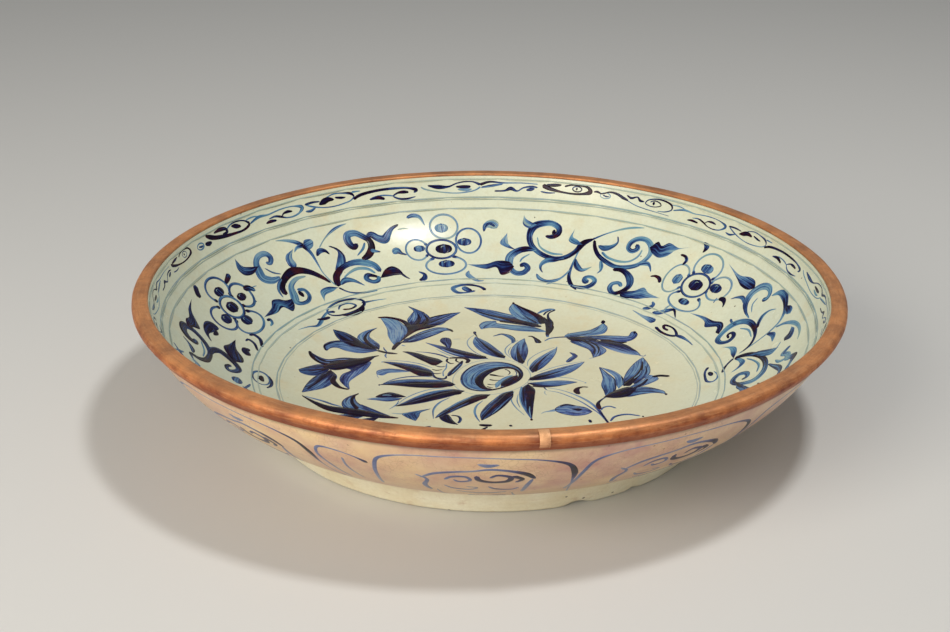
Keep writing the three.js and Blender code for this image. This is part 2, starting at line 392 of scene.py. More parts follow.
def buff_glaze_colour(tree, place):
    """The same glaze over bare clay: buff, stained pink, with brown crackle, and darkened to brown just
    under the copper: painted shadow and grime.
    """
    broad = patches(tree, place, 38, 0.36, 0.66, seed=21)
    bloom = patches(tree, place, 11, 0.42, 0.72, seed=24, detail=5, roughness=0.65)
    colour = add(tree, "ShaderNodeMix", RGBA, {0: broad, 6: "#e2c393", 7: "#bb8a80"}).outputs[2]
    colour = stained(tree, colour, bloom, 0.5, "#e6d0aa")
    # The crackle's cells are drawn coarser than real, so that they show
    waver = add(tree, "ShaderNodeTexNoise", None, {"Vector": place, "Scale": 240.0}).outputs[1]
    shift = add(tree, "ShaderNodeVectorMath", {"operation": "SCALE"},
                {0: waver, "Scale": 0.0022}).outputs[0]
    bent = add(tree, "ShaderNodeVectorMath", PLUS, {0: place, 1: shift}).outputs[0]
    edge = add(tree, "ShaderNodeTexVoronoi", {"feature": "DISTANCE_TO_EDGE"},
               {"Vector": bent, "Scale": 1 / (2.7 * MM)}).outputs["Distance"]
    crack = add(tree, "ShaderNodeValToRGB", None, {0: edge}, ((0.0, 1.0), (0.06, 0.0))).outputs[0]
    shown = patches(tree, place, 16, 0.4, 0.68, seed=27, detail=3, over=0.5)
    colour = stained(tree, colour, crack, shown, "#7d5440")
    colour = stained(tree, colour, specks(tree, place, 5, 0.6, 0.3), 0.6, "#6b4630")
    # Painted shadow under the copper binding's skirt, also standing for grime: the glaze turns dark brown
    # from 61.5 to 63.8 mm up.
    height = add(tree, "ShaderNodeSeparateXYZ", None, {0: place}).outputs[2]
    height = add(tree, "ShaderNodeMath", TIMES, {0: height, 1: PER_100_MM}).outputs[0]
    shadow_and_grime_under_copper = add(tree, "ShaderNodeValToRGB", None, {0: height}, ((0.615, 0.0), (0.638, 1.0))).outputs[0]
    return stained(tree, colour, shadow_and_grime_under_copper, 0.75, "#4a2a1e")


def buff_glaze():
    # Ash glaze on bare stoneware: warm buff, crazed, duller than the inside.
    material, tree, surface = new_material("crazed_buff_glaze")
    place = add(tree, "ShaderNodeTexCoord").outputs["Object"]
    tree.links.new(buff_glaze_colour(tree, place), surface.inputs["Base Color"])
    tree.links.new(glaze_relief(tree, place), surface.inputs["Normal"])
    surface.inputs["Roughness"].default_value = 0.3
    surface.inputs["IOR"].default_value = 1.5
    return material


def outside_paint():
    # The outside's thinner cobalt, seen through the buff glaze.
    material, tree, surface = new_material("cobalt_under_buff_glaze")
    place = add(tree, "ShaderNodeTexCoord").outputs["Object"]
    glaze = buff_glaze_colour(tree, place)
    tone = add(tree, "ShaderNodeAttribute", {"attribute_name": "tone"}).outputs["Fac"]
    cover = add(tree, "ShaderNodeAttribute", {"attribute_name": "cover"}).outputs["Fac"]
    blot = add(tree, "ShaderNodeTexNoise", SEEDED, cloud_settings(place, 3.2, 7.0, 3, 0.6)).outputs[0]
    depth = paint_depth(tree, tone, blot, 0.5, 0.5)
    colour = add(tree, "ShaderNodeValToRGB", None, {0: depth},
                 ((0.0, "#a59e96"), (0.25, "#8a92a4"), (0.5, "#5d6b92"), (0.75, "#2c2d58"),
                  (1.0, "#150c18"))).outputs[0]
    colour = add(tree, "ShaderNodeMix", RGBA, {0: cover, 6: glaze, 7: colour}).outputs[2]
    tree.links.new(colour, surface.inputs["Base Color"])
    tree.links.new(glaze_relief(tree, place), surface.inputs["Normal"])
    surface.inputs["Roughness"].default_value = 0.3
    surface.inputs["IOR"].default_value = 1.5
    return material


def bare_clay():
    # Fine pale stoneware, turned on the wheel and fired bare: chalky, with grit and iron stains.
    material, tree, surface = new_material("unglazed_stoneware")
    place = add(tree, "ShaderNodeTexCoord").outputs["Object"]
    broad = patches(tree, place, 22, 0.36, 0.68, seed=31)
    grit = patches(tree, place, 1.3, 0.35, 0.7, seed=33, roughness=0.7)
    stain = patches(tree, place, 8, 0.56, 0.72, seed=37, detail=5, roughness=0.65)
    colour = add(tree, "ShaderNodeMix", RGBA, {0: broad, 6: "#f0ebd2", 7: "#e4d8b6"}).outputs[2]
    colour = stained(tree, colour, grit, 0.25, "#c6b690")
    colour = stained(tree, colour, stain, 0.4, "#b58a5e")
    colour = stained(tree, colour, specks(tree, place, 4.5, 0.8, 0.3), 0.7, "#54402f")
    tree.links.new(colour, surface.inputs["Base Color"])
    rough = lumps(tree, place, 1.1, 0.12, 0.8, seed=35, detail=5, roughness=0.7)
    worn = lumps(tree, place, 7, 0.3, 0.6, seed=36, detail=3, roughness=0.6, over=rough)
    tree.links.new(worn, surface.inputs["Normal"])
    surface.inputs["Roughness"].default_value = 0.82
    return material


def iron_wash():
    # Iron-brown wash brushed in rings on the base while it turned.
    material, tree, surface = new_material("iron_brown_wash")
    place = add(tree, "ShaderNodeTexCoord").outputs["Object"]
    turn, radius, _ = round_the_axis(tree, place)
    along = add(tree, "ShaderNodeMath", TIMES, {0: turn, 1: 0.004}).outputs[0]
    brushed = add(tree, "ShaderNodeCombineXYZ", None, {0: along, 1: radius, 2: 0.0}).outputs[0]
    rings = add(tree, "ShaderNodeTexNoise", SEEDED, cloud_settings(brushed, 2.4, 41.0, 4, 0.6)).outputs[0]
    patch = add(tree, "ShaderNodeTexNoise", SEEDED, cloud_settings(place, 30, 43.0, 4, 0.6)).outputs[0]
    shares = [add(tree, "ShaderNodeMath", TIMES, {0: rings, 1: 0.6}).outputs[0],
              add(tree, "ShaderNodeMath", TIMES, {0: patch, 1: 0.4}).outputs[0]]
    depth = add(tree, "ShaderNodeMath", PLUS, {0: shares[0], 1: shares[1]}).outputs[0]
    colour = add(tree, "ShaderNodeValToRGB", None, {0: depth},
                 ((0.36, "#3d1e12"), (0.5, "#5e3420"), (0.62, "#84522f"))).outputs[0]
    colour = stained(tree, colour, specks(tree, place, 6, 0.8, 0.25), 0.6, "#b58f66")
    tree.links.new(colour, surface.inputs["Base Color"])
    ridges = add(tree, "ShaderNodeBump", None,
                 {"Height": rings, "Distance": 0.15 * MM, "Strength": 0.7}).outputs[0]
    tree.links.new(ridges, surface.inputs["Normal"])
    surface.inputs["Roughness"].default_value = 0.6
    return material


def copper(name, bright, deep, shine):
    # Sheet copper, folded by hand and long handled: rubbed bright in streaks, with brown patina; painted
    # shade darkens the skirt and a painted highlight lightens the top.
    material, tree, surface = new_material(name)
    place = add(tree, "ShaderNodeTexCoord").outputs["Object"]
    turn, radius, height = round_the_axis(tree, place)
    along = add(tree, "ShaderNodeMath", TIMES, {0: turn, 1: 0.018}).outputs[0]
    drawn = add(tree, "ShaderNodeCombineXYZ", None, {0: along, 1: radius, 2: height}).outputs[0]
    scratches = add(tree, "ShaderNodeTexNoise", SEEDED, cloud_settings(drawn, 0.9, 51.0, 4, 0.7)).outputs[0]
    patina = patches(tree, place, 15, 0.4, 0.66, seed=53, detail=5, roughness=0.66)
    spots = patches(tree, place, 3.2, 0.52, 0.68, seed=55, detail=5, roughness=0.7)
    rubbed = add(tree, "ShaderNodeValToRGB", None, {0: scratches}, ((0.5, 0.0), (0.75, 1.0))).outputs[0]
    streaks = add(tree, "ShaderNodeValToRGB", None, {0: scratches}, ((0.3, 1.0), (0.44, 0.0))).outputs[0]
    level = add(tree, "ShaderNodeMath", TIMES, {0: height, 1: PER_100_MM}).outputs[0]
    # Painted shade, also standing for patina: the skirt darkens below 69.5 mm up.
    skirt = add(tree, "ShaderNodeValToRGB", None, {0: level}, ((0.655, 1.0), (0.695, 0.0))).outputs[0]
    # Painted highlight, also standing for rubbed wear: the top lightens from 70 mm up.
    top = add(tree, "ShaderNodeValToRGB", None, {0: level}, ((0.7, 0.0), (0.728, 1.0))).outputs[0]
    colour = add(tree, "ShaderNodeMix", RGBA, {0: patina, 6: bright, 7: deep}).outputs[2]
    colour = stained(tree, colour, spots, 0.45, "#6b2f1b")
    colour = stained(tree, colour, rubbed, 0.5, "#e3ab7b")
    colour = stained(tree, colour, streaks, 0.55, "#6b2e17")
    colour = stained(tree, colour, skirt, 0.65, "#86391c")
    colour = stained(tree, colour, top, 0.24, "#ecc188")
    tree.links.new(colour, surface.inputs["Base Color"])
    dull = add(tree, "ShaderNodeMath", TIMES, {0: spots, 1: 0.2}).outputs[0]
    rough = add(tree, "ShaderNodeMath", PLUS, {0: shine, 1: dull}).outputs[0]
    tree.links.new(rough, surface.inputs["Roughness"])
    dented = lumps(tree, place, 7, 0.3, 0.5, seed=57, detail=2, roughness=0.5)
    scratched = add(tree, "ShaderNodeBump", None,
                    {"Height": scratches, "Distance": 0.03 * MM, "Strength": 0.7, "Normal": dented})
    tree.links.new(scratched.outputs[0], surface.inputs["Normal"])
    surface.inputs["Metallic"].default_value = 0.45
    return material


def resin_cement():
    # Dark lacquer cement under the copper, dull and grainy.
    material, tree, surface = new_material("lacquer_cement")
    place = add(tree, "ShaderNodeTexCoord").outputs["Object"]
    grain = add(tree, "ShaderNodeTexNoise", SEEDED, cloud_settings(place, 1.2, 61.0, 4, 0.7)).outputs[0]
    colour = add(tree, "ShaderNodeValToRGB", None, {0: grain},
                 ((0.35, "#241811"), (0.7, "#4a3626"))).outputs[0]
    tree.links.new(colour, surface.inputs["Base Color"])
    relief = add(tree, "ShaderNodeBump", None,
                 {"Height": grain, "Distance": 0.1 * MM, "Strength": 0.8}).outputs[0]
    tree.links.new(relief, surface.inputs["Normal"])
    surface.inputs["Roughness"].default_value = 0.75
    return material


CREAM_GLAZE = cream_glaze()
COBALT = cobalt_paint()
BUFF_GLAZE = buff_glaze()
OUTSIDE_COBALT = outside_paint()
CLAY = bare_clay()
IRON_WASH = iron_wash()
COPPER = copper("worn_copper", "#c67843", "#7c361d", 0.48)
SOLDER = copper("bright_solder", "#ecb68a", "#d39a6e", 0.6)
CEMENT = resin_cement()


# The turned and folded forms, each in its solid's place

def make_inner_glaze():
    face = along_wall(from_inside, 0, 0, 1)
    back = along_wall(from_inside, GLAZE, 0, 1)
    floor = [(r, FLOOR_HEIGHT) for r in np.linspace(0, FLOOR_RADIUS, 24)[:-1]]
    under = [(r, FLOOR_HEIGHT - GLAZE) for r in np.linspace(0, FLOOR_RADIUS, 6)[:-1]]
    piece = turned("inner_glaze_coat", under + back + face[::-1] + floor[::-1], CREAM_GLAZE)
    return rides(piece, "inner_glaze", "inner_glaze")


def make_outer_glaze():
    start = where_on_wall(lambda t: from_outside(t, GLAZE)[0][0], FOOT_RADIUS + FOOT_FLARE + GAP)
    end = where_on_wall(lambda t: from_outside(t, GLAZE)[0][1], SKIRT_BOTTOM - GAP)
    face = along_wall(from_outside, 0, start, end)
    back = along_wall(from_outside, GLAZE, start, end)
    piece = turned("outer_glaze_coat", face + back[::-1], BUFF_GLAZE)
    return rides(piece, "outer_glaze", "outer_glaze")


# Chips in the foot's resting edge: degrees to the right of the front, half width in degrees, depth in mm
CHIPS = ((22.0, 3.6, 1.6), (37.5, 1.6, 1.1), (118, 2.2, 1.0), (205, 3.0, 1.2), (291, 1.8, 0.9))
CHIP_HEIGHT = 4.2
CHIP_LIFT = 0.65  # how far a chip's broken edge is raised, as a share of its depth
RIDGE_DEPTH = 0.22


def fade(value, start, end):
    """0 before start and 1 after end, in a straight line between them."""
    return np.clip((value - start) / (end - start), 0, 1)


def make_foot_ring():
    inner_edge = FOOT_RADIUS - FOOT_LAND
    seat_from = where_on_wall(lambda t: from_outside(t, GLAZE)[0][0], inner_edge - FOOT_LEAN)
    seat_to = where_on_wall(lambda t: from_outside(t, GLAZE)[0][0], FOOT_RADIUS + FOOT_FLARE)
    seat = along_wall(from_outside, GLAZE, seat_from, seat_to, 10)
    top = seat[-1]
    inner_low = (inner_edge - FOOT_BEVEL * FOOT_LEAN / seat[0][1], FOOT_BEVEL)
    outer_low = (FOOT_RADIUS + FOOT_BEVEL * FOOT_FLARE / top[1], FOOT_BEVEL)
    inner_side = [tuple(p) for p in np.linspace(seat[0], inner_low, 14)[:-1]]
    land = [(r, 0) for r in np.linspace(inner_edge + FOOT_BEVEL, FOOT_RADIUS - FOOT_BEVEL, 10)]
    outer_side = [tuple(p) for p in np.linspace(outer_low, top, 22)]
    piece = turned("foot_ring_turned", inner_side + [inner_low] + land + outer_side + seat[1:-1][::-1],
                   CLAY, 40)

    def chipped(x, y, z):
        """Turning ridges on the outer side, and chips knocked out of its resting edge."""
        angle = np.arctan2(x, -y)
        radius = np.hypot(x, y)
        outer = fade(radius, 108, 114) * fade(z, 13.5, 10.5)
        ridges = 0.1 * np.sin(z * 2.4 + 0.6 * waves(angle, 8))
        inset = outer * (RIDGE_DEPTH + RIDGE_DEPTH * waves(angle, 5) + ridges)
        for centre, width, depth in CHIPS:
            near = np.clip(1 - ((np.degrees(angle) - centre) / width) ** 2, 0, 1)
            low = np.clip(1 - z / CHIP_HEIGHT, 0, 1) * fade(radius, 109, 114)
            inset = inset + depth * near * low
            z = z + CHIP_LIFT * depth * near * low
        scale = (radius - inset) / np.maximum(radius, 1e-6)
        return x * scale, y * scale, z

    moved(piece, chipped)
    return rides(piece, "fired_clay", "foot_ring")


def make_base_wash():
    edge = FOOT_RADIUS - FOOT_LAND - FOOT_LEAN - WASH_MARGIN
    end = where_on_wall(lambda t: from_outside(t, GLAZE)[0][0], edge)
    lower = along_wall(from_outside, GLAZE - WASH, 0, end, 8)
    upper = along_wall(from_outside, GLAZE, 0, end, 8)
    base = FLOOR_HEIGHT - FLOOR_THICKNESS + GLAZE
    low = [(r, base - WASH) for r in np.linspace(0, FLOOR_RADIUS, 20)[:-1]]
    high = [(r, base) for r in np.linspace(0, FLOOR_RADIUS, 4)[:-1]]
    piece = turned("base_wash_brushed", low + lower + upper[::-1] + high[::-1], IRON_WASH)
    return rides(piece, "base_wash", "base_wash")


def make_binding():
    corner = arc(BINDING_INSIDE + INNER_ROUND, HEIGHT - INNER_ROUND, INNER_ROUND, math.pi / 2, math.pi, 6)
    top_radii = np.linspace(RIM_RADIUS - SHOULDER_ROUND, BINDING_INSIDE + INNER_ROUND, 5)[1:-1]
    top = [(r, HEIGHT) for r in top_radii]
    hook = GLAZE_TOP + GAP
    inner = [(BINDING_INSIDE, hook), (BINDING_INSIDE + SHEET, hook),
             (BINDING_INSIDE + SHEET, HEIGHT - SHEET)]
    path = shoulder_path(0, SKIRT_BOTTOM) + top + corner + inner + shoulder_path(SHEET, SKIRT_BOTTOM)[::-1]
    piece = turned("rim_binding_folded", path, COPPER, 40)

    def dented(x, y, z):
        """Hand folding: the top dips, the outer side is pressed in by turns, the skirt's edge wanders."""
        angle = np.arctan2(x, -y)
        radius = np.hypot(x, y)
        dip = 0.16 * (1 + waves(angle, 11, (2, 5, 9, 17, 31, 47, 71))) * fade(z, 69, 72)
        press = 0.2 * (1 + waves(angle, 12, (4, 7, 12, 23, 37, 59))) * fade(radius, 174, 178)
        edge = 0.3 * waves(angle, 14, (3, 8, 19, 33, 52, 80)) * np.clip((66.2 - z) / 1.5, 0, 1)
        scale = (radius - press) / radius
        return x * scale, y * scale, z - np.clip(dip, 0, 0.4) + np.clip(edge, 0, 1)

    moved(piece, dented)
    return rides(piece, "rim_copper", "rim_binding")


def make_lap():
    """The soldered patch over the strip's ends: its section pulled across the patch's small width."""
    face_round = SHOULDER_ROUND + GAP + LAP_SHEET
    skirt_top = HEIGHT - SHOULDER_ROUND - face_round * math.sin(SKIRT_LEAN)
    face = shoulder_path(-GAP - LAP_SHEET, skirt_top - LAP_SKIRT)
    back = shoulder_path(-GAP, skirt_top - LAP_SKIRT)
    end = RIM_RADIUS - SHOULDER_ROUND - LAP_TOP
    section = face + [(end, HEIGHT + GAP + LAP_SHEET), (end, HEIGHT + GAP)] + back[::-1]
    deselect_all()
    bpy.ops.mesh.primitive_circle_add(vertices=len(section), radius=10 * MM, fill_type="NGON")
    piece = bpy.context.object
    piece.name = piece.data.name = "binding_lap_soldered"
    for vertex, (radius, height) in zip(piece.data.vertices, section):
        vertex.co = (-LAP_WIDTH / 2 * MM, -radius * MM, height * MM)
    bpy.ops.object.mode_set(mode="EDIT")
    bpy.ops.mesh.select_all(action="SELECT")
    bpy.ops.mesh.extrude_region_move(TRANSFORM_OT_translate={"value": (LAP_WIDTH * MM, 0, 0)})
    bpy.ops.mesh.select_all(action="SELECT")
    bpy.ops.mesh.normals_make_consistent(inside=False)
    bpy.ops.object.mode_set(mode="OBJECT")
    piece.data.transform(Matrix.Rotation(LAP_ANGLE, 4, "Z"))
    bevel = piece.modifiers.new("worn_edges", "BEVEL")
    bevel.width = 0.12 * MM
    bevel.segments = 2
    bevel.limit_method = "ANGLE"
    bevel.angle_limit = math.radians(50)
    bpy.ops.object.modifier_apply(modifier="worn_edges")
    bpy.ops.object.shade_smooth_by_angle(angle=math.radians(40))
    piece.data.materials.clear()
    piece.data.materials.append(SOLDER)
    return rides(piece, "lap_solder", "binding_lap")


make_inner_glaze()
make_outer_glaze()
make_foot_ring()
make_base_wash()
make_binding()
make_lap()
for node, material in (("stoneware_body", CLAY), ("binding_cement", CEMENT)):
    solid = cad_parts[node]
    solid.data.materials.clear()
    solid.data.materials.append(material)


# Brush strokes: closed ribbons that lie on the glaze

WALL_T = np.linspace(0, 1, 801)
RING_RADIUS = 122.9  # the painted ring between the well and the wall, where b is 0 on the wall


def wall_lengths(face, start):
    """Distance along a face of the wall, with the matching radius and height."""
    points = face(WALL_T, 0)
    steps = np.hypot(*np.diff(points, axis=0).T)
    return start + np.concatenate([[0], np.cumsum(steps)]), points


INSIDE_LENGTH, INSIDE_POINTS = wall_lengths(from_inside, FLOOR_RADIUS)
OUTSIDE_LENGTH, OUTSIDE_POINTS = wall_lengths(from_outside, 0.0)
RING_LENGTH = float(np.interp(RING_RADIUS, INSIDE_POINTS[:, 0], INSIDE_LENGTH))


def inside_section(length):
    """Radius, height and outward normal (r, z) of the inside glaze at a distance from the axis."""
    t = np.interp(length, INSIDE_LENGTH, WALL_T)
    on_floor = length < FLOOR_RADIUS
    radius = np.where(on_floor, length, np.interp(length, INSIDE_LENGTH, INSIDE_POINTS[:, 0]))
    height = np.interp(length, INSIDE_LENGTH, INSIDE_POINTS[:, 1])
    offset = from_inside(t, -1.0) - from_inside(t, 0.0)
    return radius, height, offset[:, 0], offset[:, 1]


def outside_section(length):
    t = np.interp(length, OUTSIDE_LENGTH, WALL_T)
    radius = np.interp(length, OUTSIDE_LENGTH, OUTSIDE_POINTS[:, 0])
    height = np.interp(length, OUTSIDE_LENGTH, OUTSIDE_POINTS[:, 1])
    offset = from_inside(t, 1.0) - from_inside(t, 0.0)
    return radius, height, offset[:, 0], offset[:, 1]


ACROSS = (-1.0, -0.8, -0.4, 0.0, 0.4, 0.8, 1.0)  # columns of a stroke, from edge to edge
STROKE_LIFT = 0.05  # mm that a stroke of layer 0 stands over the glaze
LAYER_LIFT = 0.011  # and what each layer adds to it
TURN_LIFT = 0.0004  # and each stroke in a round of twenty, so that few that cross lie level
STROKES_IN_A_ROUND = 20
EDGE_SINK = -0.05  # the edges and the underside end in the glaze
UNDERSIDE_SINK = -0.09
SOFT_EDGE = 0.16  # mm over which a stroke's cover fades at its edge
THINNEST = 0.12
HAIR_RUN = 0.06  # the brush's hairs: how slowly their streaks change along a stroke, and how close they lie
HAIR_ACROSS = 1.4
HAIR_APART = 3.7  # what sets one stroke's streaks apart from the next one's
MOST_STEPS = 900


class Brush:
    """Gathers strokes on one face of the dish and makes them one piece."""

    def __init__(self, name, kind):
        self.name = name
        # What a and b are: "well": x and y in mm; "wall": degrees and mm above the ring; "outside": degrees
        # and mm along the outside from the point under the edge of the flat floor
        self.kind = kind
        self.points = []
        self.faces = []
        self.tone = []
        self.cover = []
        self.hair = []
        self.count = 0
        self.strokes = 0
        self.coarse = 1.0
        self.press = 1.0  # how wide the strokes come out
        self.turn = 0.0  # degrees added to what is painted next
        self.centre = 0.0  # and how far it is pressed together round this angle, on the wall and outside
        self.squeeze = 1.0

    def spread(self, a, b):
        """Width of one step of a, in millimetres."""
        if self.kind == "well":
            return np.ones_like(a)
        if self.kind == "wall":
            return inside_section(b + RING_LENGTH)[0] * math.pi / 180
        return outside_section(b)[0] * math.pi / 180

    def on_face(self, a, b, lift):
        if self.kind == "well":
            length_at = np.interp(np.hypot(a, b), np.concatenate([[0], INSIDE_POINTS[:, 0]]),
                                  np.concatenate([[0], INSIDE_LENGTH]))
            radius, height, out_r, out_z = inside_section(length_at)
            angle = np.arctan2(a, -b)
        elif self.kind == "wall":
            radius, height, out_r, out_z = inside_section(b + RING_LENGTH)
            angle = np.radians(self.centre + (a - self.centre) * self.squeeze)
        else:
            radius, height, out_r, out_z = outside_section(b)
            angle = np.radians(self.centre + (a - self.centre) * self.squeeze)
        angle = angle + math.radians(self.turn)
        radius = radius + out_r * lift
        height = height + out_z * lift
        return np.stack([radius * np.sin(angle), -radius * np.cos(angle), height], -1)

    def ribbon(self, columns, closed=False):
        """Joins columns of points into a thin closed band. A column is (a, b, lift, tone, cover, hair)."""
        total = len(columns[0][0])
        across = len(columns)
        for a, b, lift, tone, cover, hair in columns:
            self.points.append(self.on_face(a, b, lift))
            self.tone.append(np.broadcast_to(tone, total))
            self.cover.append(np.full(total, cover))
            self.hair.append(hair)
        index = self.count + np.arange(across)[:, None] * total + np.arange(total)[None]
        k = np.arange(total if closed else total - 1)
        n = (k + 1) % total
        for i in range(across):
            j = (i + 1) % across
            self.faces.append(np.stack([index[i][k], index[i][n], index[j][n], index[j][k]], -1))
        if not closed:
            start, end = index[:, 0], index[:, -1]
            self.faces.append([(start[0], start[i], start[i + 1]) for i in range(1, across - 1)])
            self.faces.append([(end[0], end[i + 1], end[i]) for i in range(1, across - 1)])
        self.count += across * total
        self.strokes += 1

    def lift(self, layer):
        return STROKE_LIFT + LAYER_LIFT * layer + TURN_LIFT * (self.strokes % STROKES_IN_A_ROUND)

    def stroke(self, points, tone=0.6, layer=0, cover=1.0, closed=False, blunt=1.0, step=0.7):
        """A stroke through (a, b, width mm[, tone]) points, round at its ends; a closed one joins up."""
        given = np.array([p if len(p) == 4 else (*p, tone) for p in points], float)
        middle_spread = float(self.spread(given[:, 0].mean(keepdims=True),
                                          given[:, 1].mean(keepdims=True))[0])
        flat = given[:, :2] * (middle_spread, 1.0)
        run = np.hypot(*np.diff(flat, axis=0).T).sum()
        count = int(min(max(run / step / self.coarse, 5 * (len(given) - 1) + 1, 8), MOST_STEPS))
        along = smooth_line(given, flat, count, closed)
        a, b, width, depth = along.T
        spread = self.spread(a, b)
        if closed:
            da = (np.roll(a, -1) - np.roll(a, 1)) * spread
            db = np.roll(b, -1) - np.roll(b, 1)
        else:
            da = np.gradient(a) * spread
            db = np.gradient(b)
        length = np.maximum(np.hypot(da, db), 1e-9)
        normal_a, normal_b = -db / length / spread, da / length
        half = np.maximum(width * self.press, THINNEST) / 2
        travelled = np.concatenate([[0], np.cumsum(np.hypot(np.diff(a) * spread[1:], np.diff(b)))])
        if not closed:
            for reach, nearest in ((travelled, half[0]), (travelled[-1] - travelled, half[-1])):
                share = np.clip(reach / max(nearest * blunt, 1e-6), 0, 1)
                half = half * np.sqrt(np.maximum(1 - (1 - share) ** 2, 0.0025))
        full = np.clip(1 - SOFT_EDGE / np.maximum(half, 1e-6), 0.5, 0.95)
        lift = self.lift(layer)
        columns = []
        for place in ACROSS:
            edge = abs(place) == 1
            level = np.sign(place) * full if abs(place) == 0.8 else np.full_like(half, place)
            hair = np.stack([travelled * HAIR_RUN, level * half * HAIR_ACROSS,
                             np.full_like(half, self.strokes * HAIR_APART)], -1)
            columns.append((a + normal_a * level * half, b + normal_b * level * half,
                            EDGE_SINK if edge else lift, depth, 0.0 if edge else cover, hair))
        columns.append((a, b, UNDERSIDE_SINK, depth, cover, columns[3][5]))
        self.ribbon(columns, closed)

    def leaf(self, base, left, right, tip, base_tone, belly_tone, tip_tone, layer=1, line=None,
             line_width=0.6):
        """A filled leaf or petal between two edges. A tone is one number or three: left, middle, right."""
        edges = []
        longest = 0.0
        for side in (left, right):
            points = np.array([base, *side, tip], float)
            spread = float(self.spread(points[:, 0].mean(keepdims=True),
                                       points[:, 1].mean(keepdims=True))[0])
            flat = points * (spread, 1.0)
            longest = max(longest, np.hypot(*np.diff(flat, axis=0).T).sum())
            edges.append((points, flat))
        count = int(max(longest / 0.8 / self.coarse, 14))
        left_line, right_line = (smooth_line(points, flat, count, False) for points, flat in edges)
        share = np.linspace(0, 1, count)
        tones = np.array([np.broadcast_to(t, 3) for t in (base_tone, belly_tone, tip_tone)], float)
        width = np.hypot((right_line - left_line)[:, 0] * self.spread(*left_line.T),
                         (right_line - left_line)[:, 1])
        soft = np.clip(SOFT_EDGE / np.maximum(width, 1e-6), 0.02, 0.25)
        lift = self.lift(layer)
        columns = []
        for place in ACROSS:
            edge = abs(place) == 1
            level = np.sign(place) * (1 - 2 * soft) if abs(place) == 0.8 else np.full(count, place)
            part = ((level + 1) / 2)[:, None]
            points = left_line * (1 - part) + right_line * part
            side = tones[:, 0] if place < 0 else tones[:, 2]
            weight = abs(place) ** 1.3
            depth = np.interp(share, (0, 0.42, 1), tones[:, 1] * (1 - weight) + side * weight)
            hair = np.stack([share * longest * HAIR_RUN, level * width * HAIR_ACROSS / 2,
                             np.full(count, self.strokes * HAIR_APART)], -1)
            columns.append((points[:, 0], points[:, 1], EDGE_SINK if edge else lift, depth,
                            0.0 if edge else 1.0, hair))
        middle = (left_line + right_line) / 2
        columns.append((middle[:, 0], middle[:, 1], UNDERSIDE_SINK, columns[3][3], 1.0, columns[3][5]))
        self.ribbon(columns)
        if line is not None:
            for side, tone in zip((left, right), np.broadcast_to(line, 2)):
                if tone > 0:
                    points = [(*p, line_width) for p in (base, *side, tip)]
                    self.stroke(points, tone, layer + 1, blunt=2.0)

    def dot(self, centre, radius, tone=1.0, layer=4):
        """A round touch of the brush."""
        reach = radius * 0.55 / float(self.spread(np.array([centre[0]], float),
                                                  np.array([centre[1]], float))[0])
        self.stroke([(centre[0] - reach, centre[1], radius * 1.8), (centre[0], centre[1], radius * 2),
                     (centre[0] + reach, centre[1], radius * 1.8)], tone, layer, step=0.3)

    def ring(self, centre, radii, width, tone=0.6, layer=0):
        """An oval line. Radii are in millimetres; a width of two values swells from one to the other."""
        spread = float(self.spread(np.array([centre[0]], float), np.array([centre[1]], float))[0])
        steps = 16
        points = []
        for i in range(steps):
            angle = math.radians(360 * i / steps)
            swing = 0.5 - 0.5 * math.cos(2 * math.pi * i / steps)
            size = width if np.isscalar(width) else width[0] + (width[1] - width[0]) * swing
            points.append((centre[0] + radii[0] * math.cos(angle) / spread,
                           centre[1] + radii[1] * math.sin(angle), size))
        self.stroke(points, tone, layer, closed=True)

    def done(self, material, slot):
        mesh = bpy.data.meshes.new(self.name)
        points = np.concatenate(self.points) * MM
        faces = [tuple(int(i) for i in face) for block in self.faces for face in block]
        mesh.from_pydata(points.tolist(), [], faces)
        for name, values in (("tone", self.tone), ("cover", self.cover)):
            attribute = mesh.attributes.new(name, "FLOAT", "POINT")
            attribute.data.foreach_set("value", np.concatenate(values).astype(np.float32))
        attribute = mesh.attributes.new("hair", "FLOAT_VECTOR", "POINT")
        attribute.data.foreach_set("vector", np.concatenate(self.hair).astype(np.float32).ravel())
        mesh.materials.append(material)
        piece = bpy.data.objects.new(self.name, mesh)
        bpy.context.scene.collection.objects.link(piece)
        deselect_all()
        piece.select_set(True)
        bpy.context.view_layer.objects.active = piece
        bpy.ops.object.mode_set(mode="EDIT")
        bpy.ops.mesh.select_all(action="SELECT")
        bpy.ops.mesh.normals_make_consistent(inside=False)
        bpy.ops.object.mode_set(mode="OBJECT")
        bpy.ops.object.shade_smooth()
        print(self.name, self.strokes, "strokes", len(faces), "faces")
        return rides(piece, slot)


